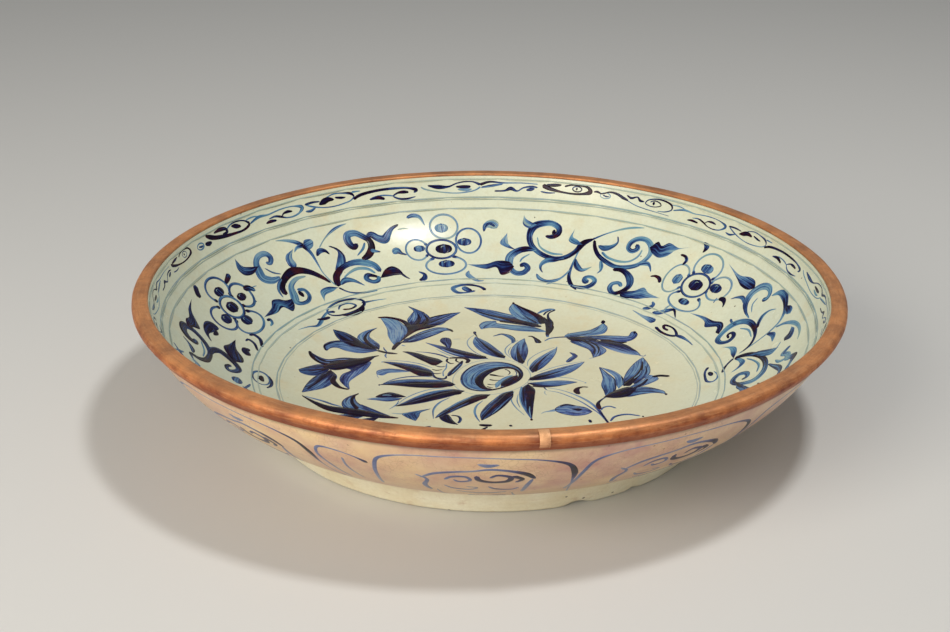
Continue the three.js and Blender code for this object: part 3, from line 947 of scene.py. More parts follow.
def smooth_line(given, flat, count, closed):
    """Catmull-Rom line through the given rows, its steps spaced by the flat points' distances."""
    if closed:
        given = np.vstack([given[-1:], given, given[:2]])
        flat = np.vstack([flat[-1:], flat, flat[:2]])
    else:
        given = np.vstack([2 * given[0] - given[1], given, 2 * given[-1] - given[-2]])
        flat = np.vstack([2 * flat[0] - flat[1], flat, 2 * flat[-1] - flat[-2]])
    knots = np.concatenate([[0], np.cumsum(np.hypot(*np.diff(flat, axis=0).T) ** 0.5 + 1e-6)])
    where = np.linspace(knots[1], knots[-2], count, endpoint=not closed)
    part = np.clip(np.searchsorted(knots, where, side="right") - 1, 1, len(given) - 3)
    k0, k1, k2, k3 = (knots[part + i][:, None] for i in (-1, 0, 1, 2))
    p0, p1, p2, p3 = (given[part + i] for i in (-1, 0, 1, 2))
    s = where[:, None]
    a1 = (k1 - s) / (k1 - k0) * p0 + (s - k0) / (k1 - k0) * p1
    a2 = (k2 - s) / (k2 - k1) * p1 + (s - k1) / (k2 - k1) * p2
    a3 = (k3 - s) / (k3 - k2) * p2 + (s - k2) / (k3 - k2) * p3
    b1 = (k2 - s) / (k2 - k0) * a1 + (s - k0) / (k2 - k0) * a2
    b2 = (k3 - s) / (k3 - k1) * a2 + (s - k1) / (k3 - k1) * a3
    return (k2 - s) / (k2 - k1) * b1 + (s - k1) / (k2 - k1) * b2


# The painted rings

RING_WANDER = 0.25  # mm

# Each ring: mm above the one between well and wall, width in mm, tone, seed, how much of the glaze it hides
RINGS = ((-13.6, 0.6, 0.06, 1, 0.7), (-15.2, 0.5, 0.04, 2, 0.55), (0.0, 0.8, 0.1, 3, 0.8),
         (-3.4, 0.6, 0.05, 4, 0.5), (50.3, 0.7, 0.06, 5, 0.7), (55.7, 0.6, 0.06, 6, 0.7),
         (57.2, 0.7, 0.08, 7, 0.8), (68.2, 0.6, 0.06, 8, 0.6))


def hand_ring(brush, level, width, tone, seed, cover):
    """A ring painted on a slow wheel: it wanders a little and thins and swells with the brush."""
    angle = np.radians(np.arange(0, 360, 3.0))
    drift = RING_WANDER * waves(angle, seed, (2, 3, 5, 9))
    swell = 1 + 0.35 * waves(angle, seed + 50, (3, 7, 13, 22))
    depth = tone + 0.1 * waves(angle, seed + 90, (2, 5, 8))
    rows = zip(np.degrees(angle), level + drift, width * np.maximum(swell, 0.35), depth)
    brush.stroke(list(rows), closed=True, cover=cover, step=2.0)


def paint_rings():
    rings = Brush("painted_rings", "wall")
    for level, width, tone, seed, cover in RINGS:
        hand_ring(rings, level, width, tone, seed, cover)
    rings.done(COBALT, "inner_glaze")


# The well: a large open flower in the middle, smaller ones round it, all in millimetres from the axis

def paint_well_flower():
    """The flower in the middle: a ribbed pod in an oval ring, pearls beside it, and a round of petals."""
    well = Brush("painted_well_flower", "well")
    leaf, line, dot = well.leaf, well.stroke, well.dot
    # Oval ring and pod
    line([(-18.5, 4, 0.7), (-15.5, 15, 0.8), (-8, 25, 0.7), (4, 29.5, 0.8), (14, 26.5, 0.7), (21, 17, 0.8),
          (22.3, 6, 0.7), (18, -4, 0.8), (9, -12, 0.7), (-3, -15.5, 0.8), (-13, -11.5, 0.7),
          (-17.8, -4, 0.8)], 0.12, 0, 0.6, closed=True)
    line([(2, -8.6, 2.2), (-4, -7.8, 4.2), (-9.2, -3.5, 6.6), (-10.2, 3.5, 7.6), (-8.6, 11, 8.6),
          (-4.2, 17.6, 8.4), (2.6, 21.6, 6.8), (9.4, 21.8, 4.6), (15, 17.6, 3.2), (17, 11.5, 2.2),
          (16, 4.5, 2.4), (12, -1.5, 2.2), (6.5, -6.4, 2.0)], 0.42, 1)
    line([(-12, -1, 0.9), (-12, 6, 1.0), (-9.5, 13.5, 0.9), (-5.4, 19, 0.8)], 0.62, 2)
    line([(-8.2, -5, 0.8), (-8.6, 2, 1.0), (-7.4, 9, 1.1), (-4.6, 14.6, 0.8)], 0.6, 2)
    line([(-10.4, -1, 0.8), (-9.8, 5, 1.0), (-7.6, 11.5, 0.8)], 0.14, 2)
    line([(-2.6, 19.6, 0.7), (3, 22.6, 1.0), (9, 22.6, 0.7)], 0.16, 2)
    line([(-14, 3, 1.5), (-13, 11, 1.4), (-9, 19, 1.3), (-3, 24, 1.2), (4, 25.6, 1.3), (11, 23.6, 1.5),
          (16, 18.5, 1.6), (18, 12, 1.5), (17.2, 5.5, 1.5), (13.5, -1, 1.3), (8, -6, 1.2), (2, -9.6, 1.4),
          (-4, -10.6, 1.6), (-9.5, -8.5, 1.5), (-13, -3, 1.5)], 0.76, 3, closed=True)
    line([(2.4, -9, 1.6), (-1.6, -7.6, 3.2), (-4.4, -2, 4.4), (-4.4, 4, 4.8), (-2, 10, 4.6), (2, 15.2, 4.0),
          (7.4, 18.4, 3.0), (12.8, 18, 2.4), (16, 14, 1.8), (16.8, 9, 1.4), (14.8, 2.6, 1.4),
          (10.6, -3.4, 1.5), (5.6, -7.6, 1.6), (1.4, -9.4, 1.8)], 0.97, 3)
    line([(8.6, 7.6, 0.7), (5.6, 7.8, 1.2), (2.6, 9, 2.2), (0.6, 9.4, 2.0)], 0.97, 4)
    line([(6.4, 2.6, 0.6), (3.2, 2.4, 1.1), (0.6, 3.4, 1.6)], 0.97, 4)
    line([(4.4, -2.8, 0.5), (2, -3, 0.9), (-0.4, -2.4, 1.3)], 0.95, 4)
    line([(2.8, -6.8, 0.6), (1, -6.4, 1.0), (-0.6, -5.2, 1.2)], 0.95, 4)
    line([(10.6, 9.4, 0.6), (11.6, 12.4, 0.9), (10.2, 15.6, 0.9), (8.8, 16.6, 1.4)], 0.9, 4)
    line([(14.6, 8.6, 0.5), (15.2, 12, 0.8), (14.2, 15, 0.6)], 0.55, 4)
    leaf((4, -7.4), [(3.6, -2), (6.6, 4), (10, 8)], [(6, -4.6), (7.8, 0.5), (11.6, 6.4)], (13.6, 9.6), 0.3,
         0.28, 0.3)
    leaf((6.8, -5), [(6.6, -1.4), (8.8, 3.4), (12, 7.4)], [(10, -3.8), (13.4, 0), (16, 5.4)], (15.6, 9.4),
         0.95, (0.8, 1, 1), 0.95, 4)
    # Pearls to the left of the ring, with the bar that carries them
    line([(-14, 27, 1.2), (-15.2, 22, 2.8), (-17.6, 16, 3.4), (-20, 10.4, 3.2), (-21.2, 6.8, 1.4)], 0.82, 2)
    line([(-14.6, 23, 0.7), (-17, 16.6, 1.0), (-19.4, 10.4, 0.7)], 0.5, 3)
    line([(-21.6, 30, 1.6), (-17.6, 30.6, 2.2), (-13, 30.2, 2.6), (-10.8, 27.6, 2.6), (-11.8, 23.6, 2.0)],
         0.98, 3)
    line([(-17.2, 29.6, 1.4), (-17.4, 26.6, 1.2), (-15.4, 24.4, 1.0)], 0.8, 3)
    line([(-22, 29.6, 1.5), (-22.4, 26, 1.4), (-20, 23, 1.3), (-18.4, 23.6, 0.8)], 0.92, 3)
    for left, right, level, rise in ((-28.6, -22, 19.2, 1.0), (-30.2, -24.4, 14.6, 0.8),
                                     (-30, -24.6, 10.2, 0.6)):
        line([(left, level + rise, 0.9), ((left + right) / 2, level - rise * 0.6, 1.2),
              (right, level + rise, 0.6)], 0.88, 3)
    line([(-22.4, 23.4, 0.8), (-22.6, 17, 1.0), (-24, 12, 0.8), (-23.6, 6.6, 1.0)], 0.35, 2)
    line([(-29.4, 9.4, 1.2), (-28, 5.4, 1.8), (-25.4, 3.4, 2.2), (-22.8, 4, 1.8), (-22, 7.6, 1.0)], 0.7, 2)
    # Petals, from the one that points up and left, clockwise
    leaf((9, 30.5), [(3, 33), (-3.5, 39), (-7, 45.5), (-8.5, 52)], [(8, 36), (4.5, 43), (0, 51), (-4, 56)],
         (-7.5, 59.5), 0.95, (0.34, 0.6, 0.56), (0.4, 0.45, 0.5), 1, (0.5, 0.62))
    line([(8.8, 31.6, 3.6), (4, 38, 3.0), (-0.5, 45, 1.9), (-3.5, 51, 1.3, 0.85), (-5.8, 56.4, 0.6, 0.7)],
         1.0, 3)
    line([(-1.5, 31.6, 0.5), (-7, 38, 0.8), (-10.6, 45, 0.9), (-11.8, 52, 0.8), (-10.4, 58, 0.7),
          (-8.2, 61.6, 0.5)], 0.22, 0)
    line([(-7.8, 67, 2.1), (-7.8, 64.4, 1.8), (-7, 61.4, 1.0), (-6, 57.6, 0.5)], 0.8, 3)
    leaf((18.5, 23.5), [(13.5, 30), (12.2, 38), (13.5, 46), (16.5, 53)],
         [(20.3, 31), (21.6, 40), (21.2, 48), (20.3, 54)], (20, 58), 1.0, (0.42, 0.5, 0.52),
         (0.36, 0.36, 0.5), 1, (0.6, 0.66))
    line([(18.2, 24.6, 4.4), (17, 31, 3.2), (16.2, 38, 1.9), (16, 45, 1.2, 0.8), (16.9, 51, 0.6, 0.6)], 1.0,
         3)
    line([(12.4, 31, 0.5), (9.6, 37, 0.8), (9.3, 43.4, 0.9), (12, 50, 0.8), (16.4, 55.2, 0.5)], 0.3, 0)
    line([(11.6, 34, 0.4), (11, 40, 0.7), (12.4, 46, 0.5)], 0.14, 0)
    leaf((23.5, 12.5), [(22, 18), (24.5, 27), (29.5, 35), (34, 41)],
         [(28, 17.5), (32.5, 26), (35.5, 34), (37, 40)], (37.6, 45.5), 1.0, (0.38, 0.55, 0.48),
         (0.3, 0.3, 0.35), 1, (0.5, 0.62))
    line([(24, 13.6, 4.4), (25.4, 20, 2.8), (28, 27, 1.5), (32, 35, 1.0, 0.8), (36, 42, 0.6, 0.5)], 1.0, 3)
    line([(21, 21, 0.5), (21.6, 28, 0.8), (25, 35, 0.8), (30, 41, 0.8), (36.4, 46.4, 0.5)], 0.14, 0)
    dot((37.6, 46.2), 1.0, 0.1, 2)
    leaf((21, 3), [(25, 9), (33, 15.5), (42, 21.5), (48, 25)], [(27, 3.5), (36, 7), (43, 12.5), (48.5, 20)],
         (52, 27.5), 1.0, (0.6, 0.48, 0.66), (0.26, 0.24, 0.28), 1, (0.66, 0.6))
    line([(22, 4, 4.4), (27, 7.5, 3.6), (34, 11.5, 1.5), (41, 16.4, 0.9, 0.6)], 1.0, 3)
    line([(33, 13, 1.6), (39, 16.8, 2.0), (44, 20.4, 1.2)], 0.42, 2)
    line([(26, 12.4, 0.5), (34, 19, 0.8), (42, 23.8, 0.8), (51, 28, 0.5)], 0.14, 0)
    leaf((20.5, -0.5), [(27, 1), (34, 2.8), (41, 3)], [(27, -4.8), (35, -4.2), (42, -1.2)], (47, 1.5),
         (0.7, 0.9, 1), (0.42, 0.46, 0.85), 0.3, 1, (0.45, 0.8))
    line([(23, -4, 2.0), (29, -4.8, 1.8), (36, -3.8, 1.0), (42, -1.2, 0.5)], 0.96, 3)
    line([(21.6, 1.2, 0.5), (28, 5.6, 0.8), (36, 7.4, 0.9), (44, 6, 0.8), (51, 1.4, 0.6)], 0.14, 0)
    dot((51.2, 0.8), 0.9, 0.12, 2)
    leaf((21, -1.6), [(24.2, -8), (24, -16), (23.2, -26), (22.6, -36)],
         [(18.2, -6), (17.6, -14), (18, -24), (19.6, -34)], (22, -43), 1.0, (1, 1, 0.8), (0.9, 0.7, 0.5), 2,
         (0.95, 0.6))
    line([(17.6, -5, 1.2), (16.8, -14, 1.7), (17.4, -24, 1.8), (19.6, -34, 1.3), (21.4, -41, 0.6)], 0.46, 1)
    line([(21.4, -28, 0.6), (21.2, -34, 1.0), (21.8, -40, 0.5)], 0.3, 4)
    line([(13.6, -10.6, 0.5), (12, -20, 0.9), (14, -29, 0.9), (18.6, -38.6, 0.5)], 0.24, 0)
    line([(15.6, -14, 0.4), (15, -22, 0.8), (16.4, -30, 0.5)], 0.3, 0)
    dot((22, -43.4), 1.4, 1.0)
    leaf((13, -10.2), [(12.6, -18), (9, -26), (5, -34), (0.5, -41)],
         [(8, -13), (3, -21), (-1, -29), (-3.6, -38)], (-3, -45), 1.0, (0.6, 0.7, 0.5), (0.6, 0.7, 0.5), 1,
         (0.8, 0.7))
    line([(12, -12, 5.0), (8.2, -20, 3.8), (3, -30, 2.6), (-1, -39, 1.7), (-3, -45, 0.8)], 1.0, 3)
    line([(12.2, -18, 1.4), (8.4, -27, 1.8), (3.4, -36.4, 1.3), (-0.6, -42, 0.6)], 0.92, 3)
    line([(10, -21, 0.6), (6, -30, 1.0), (2, -38, 0.5)], 0.34, 4)
    line([(-2.4, -22, 0.5), (-5.6, -28, 1.3), (-6.6, -35, 1.5), (-5.4, -42, 1.2), (-3.8, -46.6, 0.5)], 0.36,
         0)
    leaf((1.4, -14.8), [(-1, -18.4), (-8, -25.6), (-15, -32.2), (-21, -38.6)],
         [(-6, -15.6), (-13, -22.4), (-19, -29.6), (-24, -37)], (-26.4, -43), 1.0, (0.8, 0.9, 0.46),
         (0.7, 0.7, 0.5), 1, (0.9, 0.66))
    line([(-0.6, -16.4, 5.6), (-7, -21, 5.0), (-14, -28.4, 3.2), (-20, -35.4, 2.0), (-25, -42, 0.8)], 1.0,
         3)
    line([(-9.6, -24.6, 1.0), (-14.6, -30, 1.4), (-19, -35, 0.8)], 0.5, 4)
    line([(-9, -18, 1.0), (-15.6, -25.4, 1.5), (-21.4, -33.6, 1.0)], 0.36, 2)
    line([(-19.6, -19, 0.6), (-24.6, -25, 1.4), (-27.4, -33, 1.3), (-27.2, -44, 0.5)], 0.44, 0)
    leaf((-12, -11), [(-18, -16.6), (-27, -22.2), (-36, -26.8), (-43, -29.2)],
         [(-18, -9.2), (-28, -11.6), (-36, -17.6), (-43, -25.6)], (-47, -30), 1.0, (0.95, 0.95, 0.4),
         (0.8, 0.8, 0.5), 1, (0.9, 0.66))
    line([(-13.6, -12, 5.6), (-22, -15.4, 5.0), (-31, -20.4, 3.6), (-40, -26.4, 2.0), (-47, -30, 1.0)], 1.0,
         3)
    line([(-18, -9.6, 1.0), (-26, -11.6, 2.4), (-34, -16.6, 2.0), (-40, -22.4, 0.8)], 0.48, 2)
    line([(-18, -7.4, 0.5), (-28, -8.8, 0.9), (-36, -13.6, 1.0), (-42.6, -21, 0.8), (-46, -28, 0.5)], 0.22,
         0)
    line([(-45.6, -23, 0.5), (-46.6, -28, 1.1), (-50, -33.6, 0.5)], 0.4, 2)
    leaf((-17, -3.4), [(-24, -7.2), (-35, -7.6), (-46, -5.8), (-52, -4.8)],
         [(-22, 1.2), (-32, 2.4), (-42, 2.4), (-50, 0.2)], (-56.6, -4.8), 1.0, (1, 0.95, 0.4),
         (0.8, 0.6, 0.4), 1, (0.95, 0.7))
    line([(-17.6, -3, 5.6), (-27, -3.8, 6.0), (-37, -4.2, 4.8), (-46, -4.2, 2.6), (-53, -4.6, 1.0)], 1.0, 3)
    line([(-24, 1.2, 1.0), (-33, 1.2, 2.2), (-42, 0.8, 2.0), (-49, -1.2, 0.8)], 0.42, 2)
    line([(-25, 4.6, 0.5), (-34, 6.4, 1.2), (-43, 5.4, 1.4), (-50, 1.8, 1.2), (-55, -3, 0.6)], 0.56, 0)
    dot((-56.8, -5), 1.1, 0.9)
    leaf((-28.5, 7), [(-36, 7), (-42, 12.6), (-48, 17.6), (-53, 21.4)],
         [(-30, 13), (-36, 18.6), (-44, 22.2), (-52, 24)], (-57, 24.2), 1.0, (1, 1, 0.5), (0.7, 0.7, 0.5),
         1, (0.95, 0.66))
    line([(-30, 9, 5.4), (-37, 12, 6.0), (-44, 17, 3.8), (-51, 21.8, 1.6)], 1.0, 3)
    line([(-30.6, 14, 1.0), (-38, 19.6, 1.8), (-46, 22.6, 1.2)], 0.46, 2)
    line([(-29.6, 17, 0.5), (-36, 21.8, 0.9), (-44, 25, 0.9), (-52, 26, 0.7), (-57, 24.6, 0.5)], 0.22, 0)
    dot((-57.2, 24), 0.9, 0.3, 2)
    leaf((-24.5, 25.6), [(-29, 20.4), (-34, 24.8), (-39, 30), (-44, 35.6)],
         [(-27, 28.6), (-33, 32), (-39, 36.2), (-44, 38)], (-47, 38), 1.0, (0.95, 1, 0.9), (0.7, 0.7, 0.6),
         2, (0.95, 0.8))
    line([(-21.4, 30, 1.2), (-26, 34, 1.7), (-32, 36.8, 1.4), (-40, 38.4, 0.6)], 0.55, 0)
    leaf((0, 30), [(-7, 29.4), (-15, 31.8), (-22, 36.8), (-28, 43.6)],
         [(-5, 34.4), (-13, 39.4), (-21, 43.8), (-29, 47.6)], (-35, 50.6), (0.95, 1, 0.95),
         (0.6, 0.75, 0.72), (0.34, 0.36, 0.4), 1, (0.6, 0.62))
    line([(-1, 31, 4.4), (-8, 33.6, 3.8), (-15, 37, 2.8), (-22, 41, 1.8, 0.9), (-29, 46, 0.9, 0.6)], 1.0, 3)
    line([(-13, 32.8, 0.8), (-20, 37, 1.4), (-26, 42.6, 0.8)], 0.3, 2)
    line([(-12, 29.8, 0.5), (-18.6, 32, 0.9), (-25, 37.6, 1.0), (-28.6, 42, 0.6)], 0.24, 0)
    # Touches between the petals
    leaf((-21.5, 42), [(-24, 47), (-26.8, 53), (-25.8, 57)], [(-20.6, 48), (-20.8, 53), (-21.8, 56.6)],
         (-24, 57.8), 0.7, (0.8, 0.62, 0.7), 0.7, 2, 0.8)
    line([(-20.4, 55.4, 0.8), (-17, 56, 1.4), (-15.4, 56.2, 0.7)], 0.08, 0, 0.5)
    line([(13.4, 51, 1.6), (13.6, 56, 3.0), (11, 61, 3.2), (7.4, 63.6, 2.2), (4.6, 62, 1.5),
          (2.4, 60.4, 1.1)], 0.58, 1)
    line([(14.6, 53, 0.5), (14.4, 58, 0.8), (11.6, 62.6, 0.8), (7.4, 64.4, 0.7)], 0.85, 2)
    line([(28, 51.4, 4.0), (27.2, 55, 3.6), (25.8, 58.6, 2.0), (24, 61, 1.7), (22, 60.8, 1.2)], 0.98, 1)
    line([(42.4, 26.4, 2.4), (45, 31, 3.4), (47, 35, 2.8), (45.6, 38.4, 1.8), (44.4, 39.6, 1.0)], 0.62, 1)
    line([(43.6, 26.6, 0.5), (46.4, 31, 0.8), (48.4, 35, 0.8), (46.6, 38.8, 0.7)], 0.86, 2)
    line([(47.2, -13.4, 2.4), (46, -9.6, 3.6), (46.8, -6.2, 2.6), (49.4, -4.4, 1.6), (52.4, -4.6, 1.3)],
         0.96, 1)
    leaf((-41.5, 12.2), [(-48, 11), (-53, 10.2), (-56, 7)], [(-47, 14.6), (-54, 15.4), (-59, 12.6)],
         (-59, 8), 0.5, (0.34, 0.38, 0.5), 0.42, 1, (0.4, 0.6))
    line([(-58.8, 9, 0.8), (-58.6, 6, 0.6), (-57.4, 3.4, 0.4)], 0.3, 0)
    leaf((-42, -19), [(-46, -19.6), (-51, -19.8), (-55, -20)], [(-46, -16), (-51, -13.9), (-55.4, -16.2)],
         (-58, -19.4), 0.95, (0.95, 0.9, 0.8), 0.9, 2, 0.9)
    line([(-54.6, -17.4, 0.8), (-52, -17, 1.3), (-49.6, -17.4, 0.7)], 0.25, 4)
    leaf((-44, -20.4), [(-46, -22.6), (-51, -24.4), (-57, -23.2)],
         [(-50, -19.6), (-56, -19.8), (-59, -20.4)], (-62.4, -22), 0.6, (0.7, 0.5, 0.5), 0.35, 1, (0.7, 0))
    for start, end in (((51, -42.4), (51.6, -46)), ((11.2, -49.4), (11.8, -51.4))):
        line([(*start, 1.8), (*end, 2.0)], 0.85, 1)
    leaf((-20, -38.6), [(-24, -41), (-23, -45), (-19, -48.6)], [(-18.6, -42), (-17.6, -45), (-16, -48)],
         (-14.6, -50), 1.0, (1, 1, 0.7), 0.9, 2, 0.95)
    line([(-18.6, -39.4, 1.0), (-14.8, -40.6, 1.6), (-13.6, -44, 1.8), (-14.6, -48.6, 1.6)], 0.8, 2)
    line([(-4.4, -49.8, 2.0), (-1, -50.4, 3.0), (2.4, -50.2, 2.2)], 0.98, 2)
    leaf((-36, -46.4), [(-34.6, -41), (-34, -37), (-30.6, -33.6)],
         [(-40.6, -42.4), (-43, -38.6), (-40, -37)], (-29, -32.4), 0.6, (0.5, 0.7, 0.4), 0.4, 1,
         (0.66, 0.5))
    line([(-48.6, -38, 0.7), (-43, -38.6, 1.2), (-38.6, -36.6, 1.0)], 0.34, 1)
    well.done(COBALT, "inner_glaze")


def paint_well_sprigs():
    """The smaller flowers and buds that ring the middle one."""
    well = Brush("painted_well_sprigs", "well")
    leaf, line, dot = well.leaf, well.stroke, well.dot
    # Stem and bud at the front right
    line([(29, -4.6, 1.0, 0.8), (30, -7.4, 1.0, 0.6), (31, -9.2, 0.6, 0.4)])
    line([(29.8, -9.2, 0.6), (29.4, -12.4, 0.9), (30.6, -15, 0.5)], 0.08, 0, 0.7)
    line([(31, -6, 0.8, 0.1), (37, -8, 0.9, 0.2), (44, -13, 1.2, 0.35), (50, -19.4, 1.6, 0.4),
          (54, -26, 1.8, 0.5), (56.4, -32, 2.0, 0.7), (58, -38, 1.8, 0.8), (60, -45, 1.6, 0.8),
          (63, -54, 1.6, 0.8), (66, -62, 1.6, 0.8)])
    line([(31, -9.4, 0.7, 0.15), (36, -11.2, 0.9, 0.25), (42, -16, 1.0, 0.3), (48, -22.4, 1.1, 0.35),
          (52, -28.4, 1.2, 0.4), (56, -35, 1.0, 0.4), (59, -43, 0.8, 0.4)])
    line([(57, -31, 2.6, 0.95), (56.4, -27, 2.8, 1), (56.6, -23, 2.0, 0.95), (59, -18.6, 1.2, 0.8),
          (61.6, -15.6, 0.8, 0.7)], 0.9, 2)
    leaf((53, -33.4), [(50, -36.6), (44, -38.4), (38, -36.4), (35, -34)],
         [(50, -29), (45, -26.8), (40, -25), (36.2, -27.6)], (34, -31), 0.6, (0.62, 0.3, 0.5), 0.5, 1,
         (0.76, 0.72))
    line([(50, -34.6, 1.0), (45, -35.6, 1.6), (39, -33.8, 1.2)], 0.55, 2)
    leaf((48.4, -31.6), [(46, -33), (43, -31.6)], [(46.6, -29.6), (44, -29.8)], (41.6, -30.6), 1.0, 1.0,
         0.6, 3)
    line([(44.6, -27.2, 1.0), (40, -26, 2.0), (36.6, -28.2, 1.2)], 0.9, 2)
    line([(35, -32, 3.6, 0.3), (31.6, -33.4, 1.8, 0.25), (28.4, -34.8, 0.9, 0.15), (27, -36.6, 0.5, 0.1)])
    line([(57.4, -32, 0.9), (58.8, -28.6, 1.4), (62, -27, 1.5), (65.4, -29.2, 1.3)], 0.5)
    line([(61.4, -44, 1.2), (64, -38.8, 1.8), (70, -36, 1.9), (77, -37.6, 1.3)], 0.5)
    dot((78.2, -38.2), 1.0, 0.95)
    # Flower up to the right
    line([(31, 54.4, 1.0, 0.4), (34, 58.2, 1.5, 0.35), (38.6, 60, 1.6, 0.85), (42, 60.6, 1.8, 0.9),
          (46, 60.6, 2.0, 0.95)])
    leaf((42, 60), [(44, 64.4), (50, 67.6), (57, 70.6), (62, 74.2)],
         [(50, 61.8), (58, 63.4), (65, 66.4), (67, 72)], (65, 77), (0.5, 0.5, 0.7), (0.36, 0.34, 0.42),
         (0.34, 0.3, 0.34), 1, (0.6, 0.5))
    line([(45, 61.4, 1.2), (52, 63.6, 1.2), (59, 68.2, 0.9), (63.6, 73.4, 0.6)], 0.66, 3)
    dot((65, 78), 2.3, 1.0)
    leaf((48, 60), [(56, 62.2), (64, 63.2), (72, 61.8), (78, 60.2), (80, 63.6)],
         [(58, 58.2), (66, 56.6), (73, 54), (80, 55.6), (83, 60)], (82, 64), (0.6, 0.8, 0.9),
         (0.42, 0.36, 0.6), (0.5, 0.5, 0.9), 1, (0.7, 0.75))
    line([(62, 57, 2.6), (66.6, 55.8, 4.0), (72, 53.4, 3.2), (77, 53.6, 1.0)], 1.0, 3)
    line([(54, 60.6, 1.0), (64, 60.4, 1.1), (74, 58, 0.9), (80, 58.6, 0.6)], 0.62, 3)
    dot((81.6, 62.6), 1.4, 1.0)
    leaf((54, 57), [(64, 54), (71, 52), (77, 48), (81, 42.6)],
         [(62, 49.6), (68, 43.4), (75, 38.8), (80, 37.4)], (83, 37), (0.9, 0.8, 0.7), (0.9, 0.6, 0.35),
         0.35, 1, (0.85, 0.4))
    line([(60, 55, 2.6), (67, 52.4, 4.4), (74, 49.4, 5.0), (79, 44, 2.6), (81.4, 41.6, 0.8)], 0.84, 3)
    line([(57, 53.6, 1.0), (66, 49, 1.4), (74, 43, 1.0), (82, 37.4, 0.6)], 0.72, 3)
    line([(81, 38, 1.3), (84.6, 35.4, 0.9), (86, 37, 0.6)], 0.34)
    leaf((49, 59.4), [(57.4, 54), (62.6, 48), (64.6, 42.8), (61.6, 36.8)],
         [(45.6, 54.6), (50, 49), (55, 44), (56.6, 38)], (57, 33), (0.9, 0.9, 0.8), (0.5, 0.36, 0.66),
         (0.6, 0.4, 0.6), 1, (0.72, 0.88))
    line([(51, 57, 2.4), (56, 51, 2.0), (58.4, 45, 1.5), (57.8, 37.6, 0.9)], 0.96, 3)
    line([(57, 54, 1.8), (60.4, 47.6, 1.5), (60.4, 41, 1.0), (59, 36.6, 0.6)], 0.84, 3)
    line([(50, 53.6, 0.8), (54, 49, 1.2), (57, 43.4, 0.8)], 0.28, 4)
    line([(57.4, 33, 1.2), (54.6, 31.8, 0.8)], 0.12)
    leaf((43, 60.4), [(50, 61.6), (57, 60.6)], [(45.6, 56), (53, 54.4)], (62, 56), 0.85, 0.95, 0.85, 2)
    # Flower at the right
    leaf((68, -6), [(66.4, 2), (66.8, 8), (63.6, 15)], [(71.6, 2), (71, 8.4), (67, 15.8)], (59.6, 20.8),
         0.5, (0.34, 0.3, 0.42), 0.34, 0, (0, 0.6))
    leaf((61, -15), [(60.6, -10), (59.6, -2), (60.8, 6), (60.4, 14)],
         [(66, -8), (66.8, 0), (66.6, 6), (63.4, 13)], (59.6, 20.6), 0.7, (0.48, 0.34, 0.5), 0.4, 1,
         (0.62, 0.9), 0.9)
    line([(71.4, -2.6, 2.0), (71.4, 4, 1.5), (70.6, 9.6, 0.8)], 0.92, 2)
    leaf((71, -3), [(71.6, 5), (73.4, 13), (76.4, 21), (80.4, 29)],
         [(78, 3), (83, 8), (86, 14), (86.6, 22), (85.4, 29)], (84, 34), (0.8, 1, 0.8), (0.4, 0.42, 0.44),
         (0.36, 0.38, 0.44), 1, (0.62, 0.66))
    line([(72, -2.6, 4.4), (76, 4.6, 3.6), (80, 12.6, 2.6), (82.4, 21, 1.8, 0.95), (83.4, 29, 0.9, 0.8)],
         1.0, 3)
    line([(76.6, 0, 2.0), (81.8, 7.6, 1.6), (84.4, 15.4, 1.2), (84.6, 23, 0.7)], 0.8, 3)
    line([(77, 6.6, 0.7), (80.2, 12, 1.1), (82, 17.6, 0.6)], 0.2, 4)
    leaf((74, -4), [(78, 1), (82.4, 6), (85.6, 11.4)], [(80, -2.6), (85.4, 1.4), (90, 7)], (88, 10.6),
         (0.8, 0.6, 0.8), (0.36, 0.36, 0.5), 0.3, 1, (0.5, 0.5))
    line([(76.4, -5, 2.0), (81.4, 0.6, 2.2), (84.4, 6.6, 1.3)], 0.96, 3)
    line([(86.8, 9, 2.2), (91, 10.4, 2.8), (96.2, 8.4, 2.2)], 1.0, 3)
    leaf((66, -13), [(74, -5.4), (81, -3.2), (87, -5), (91.4, -8.6)],
         [(72, -15.6), (79, -12.6), (86, -10.4), (90, -10.8)], (92, -12.4), (0.9, 0.9, 0.8),
         (0.5, 0.5, 0.4), (0.42, 0.4, 0.4), 1, (0.7, 0.75))
    line([(70, -9, 1.8), (78, -8.6, 1.5), (85, -8.8, 1.2), (91, -11.4, 0.8)], 0.8, 3)
    dot((92.2, -12.6), 1.4, 0.96)
    leaf((59.4, -16.6), [(63, -11.4), (68, -6.6), (73, -3.6)], [(66, -17.4), (72, -15.4), (76, -9.4)],
         (78, -4.6), 1.0, 1.0, 0.9, 4)
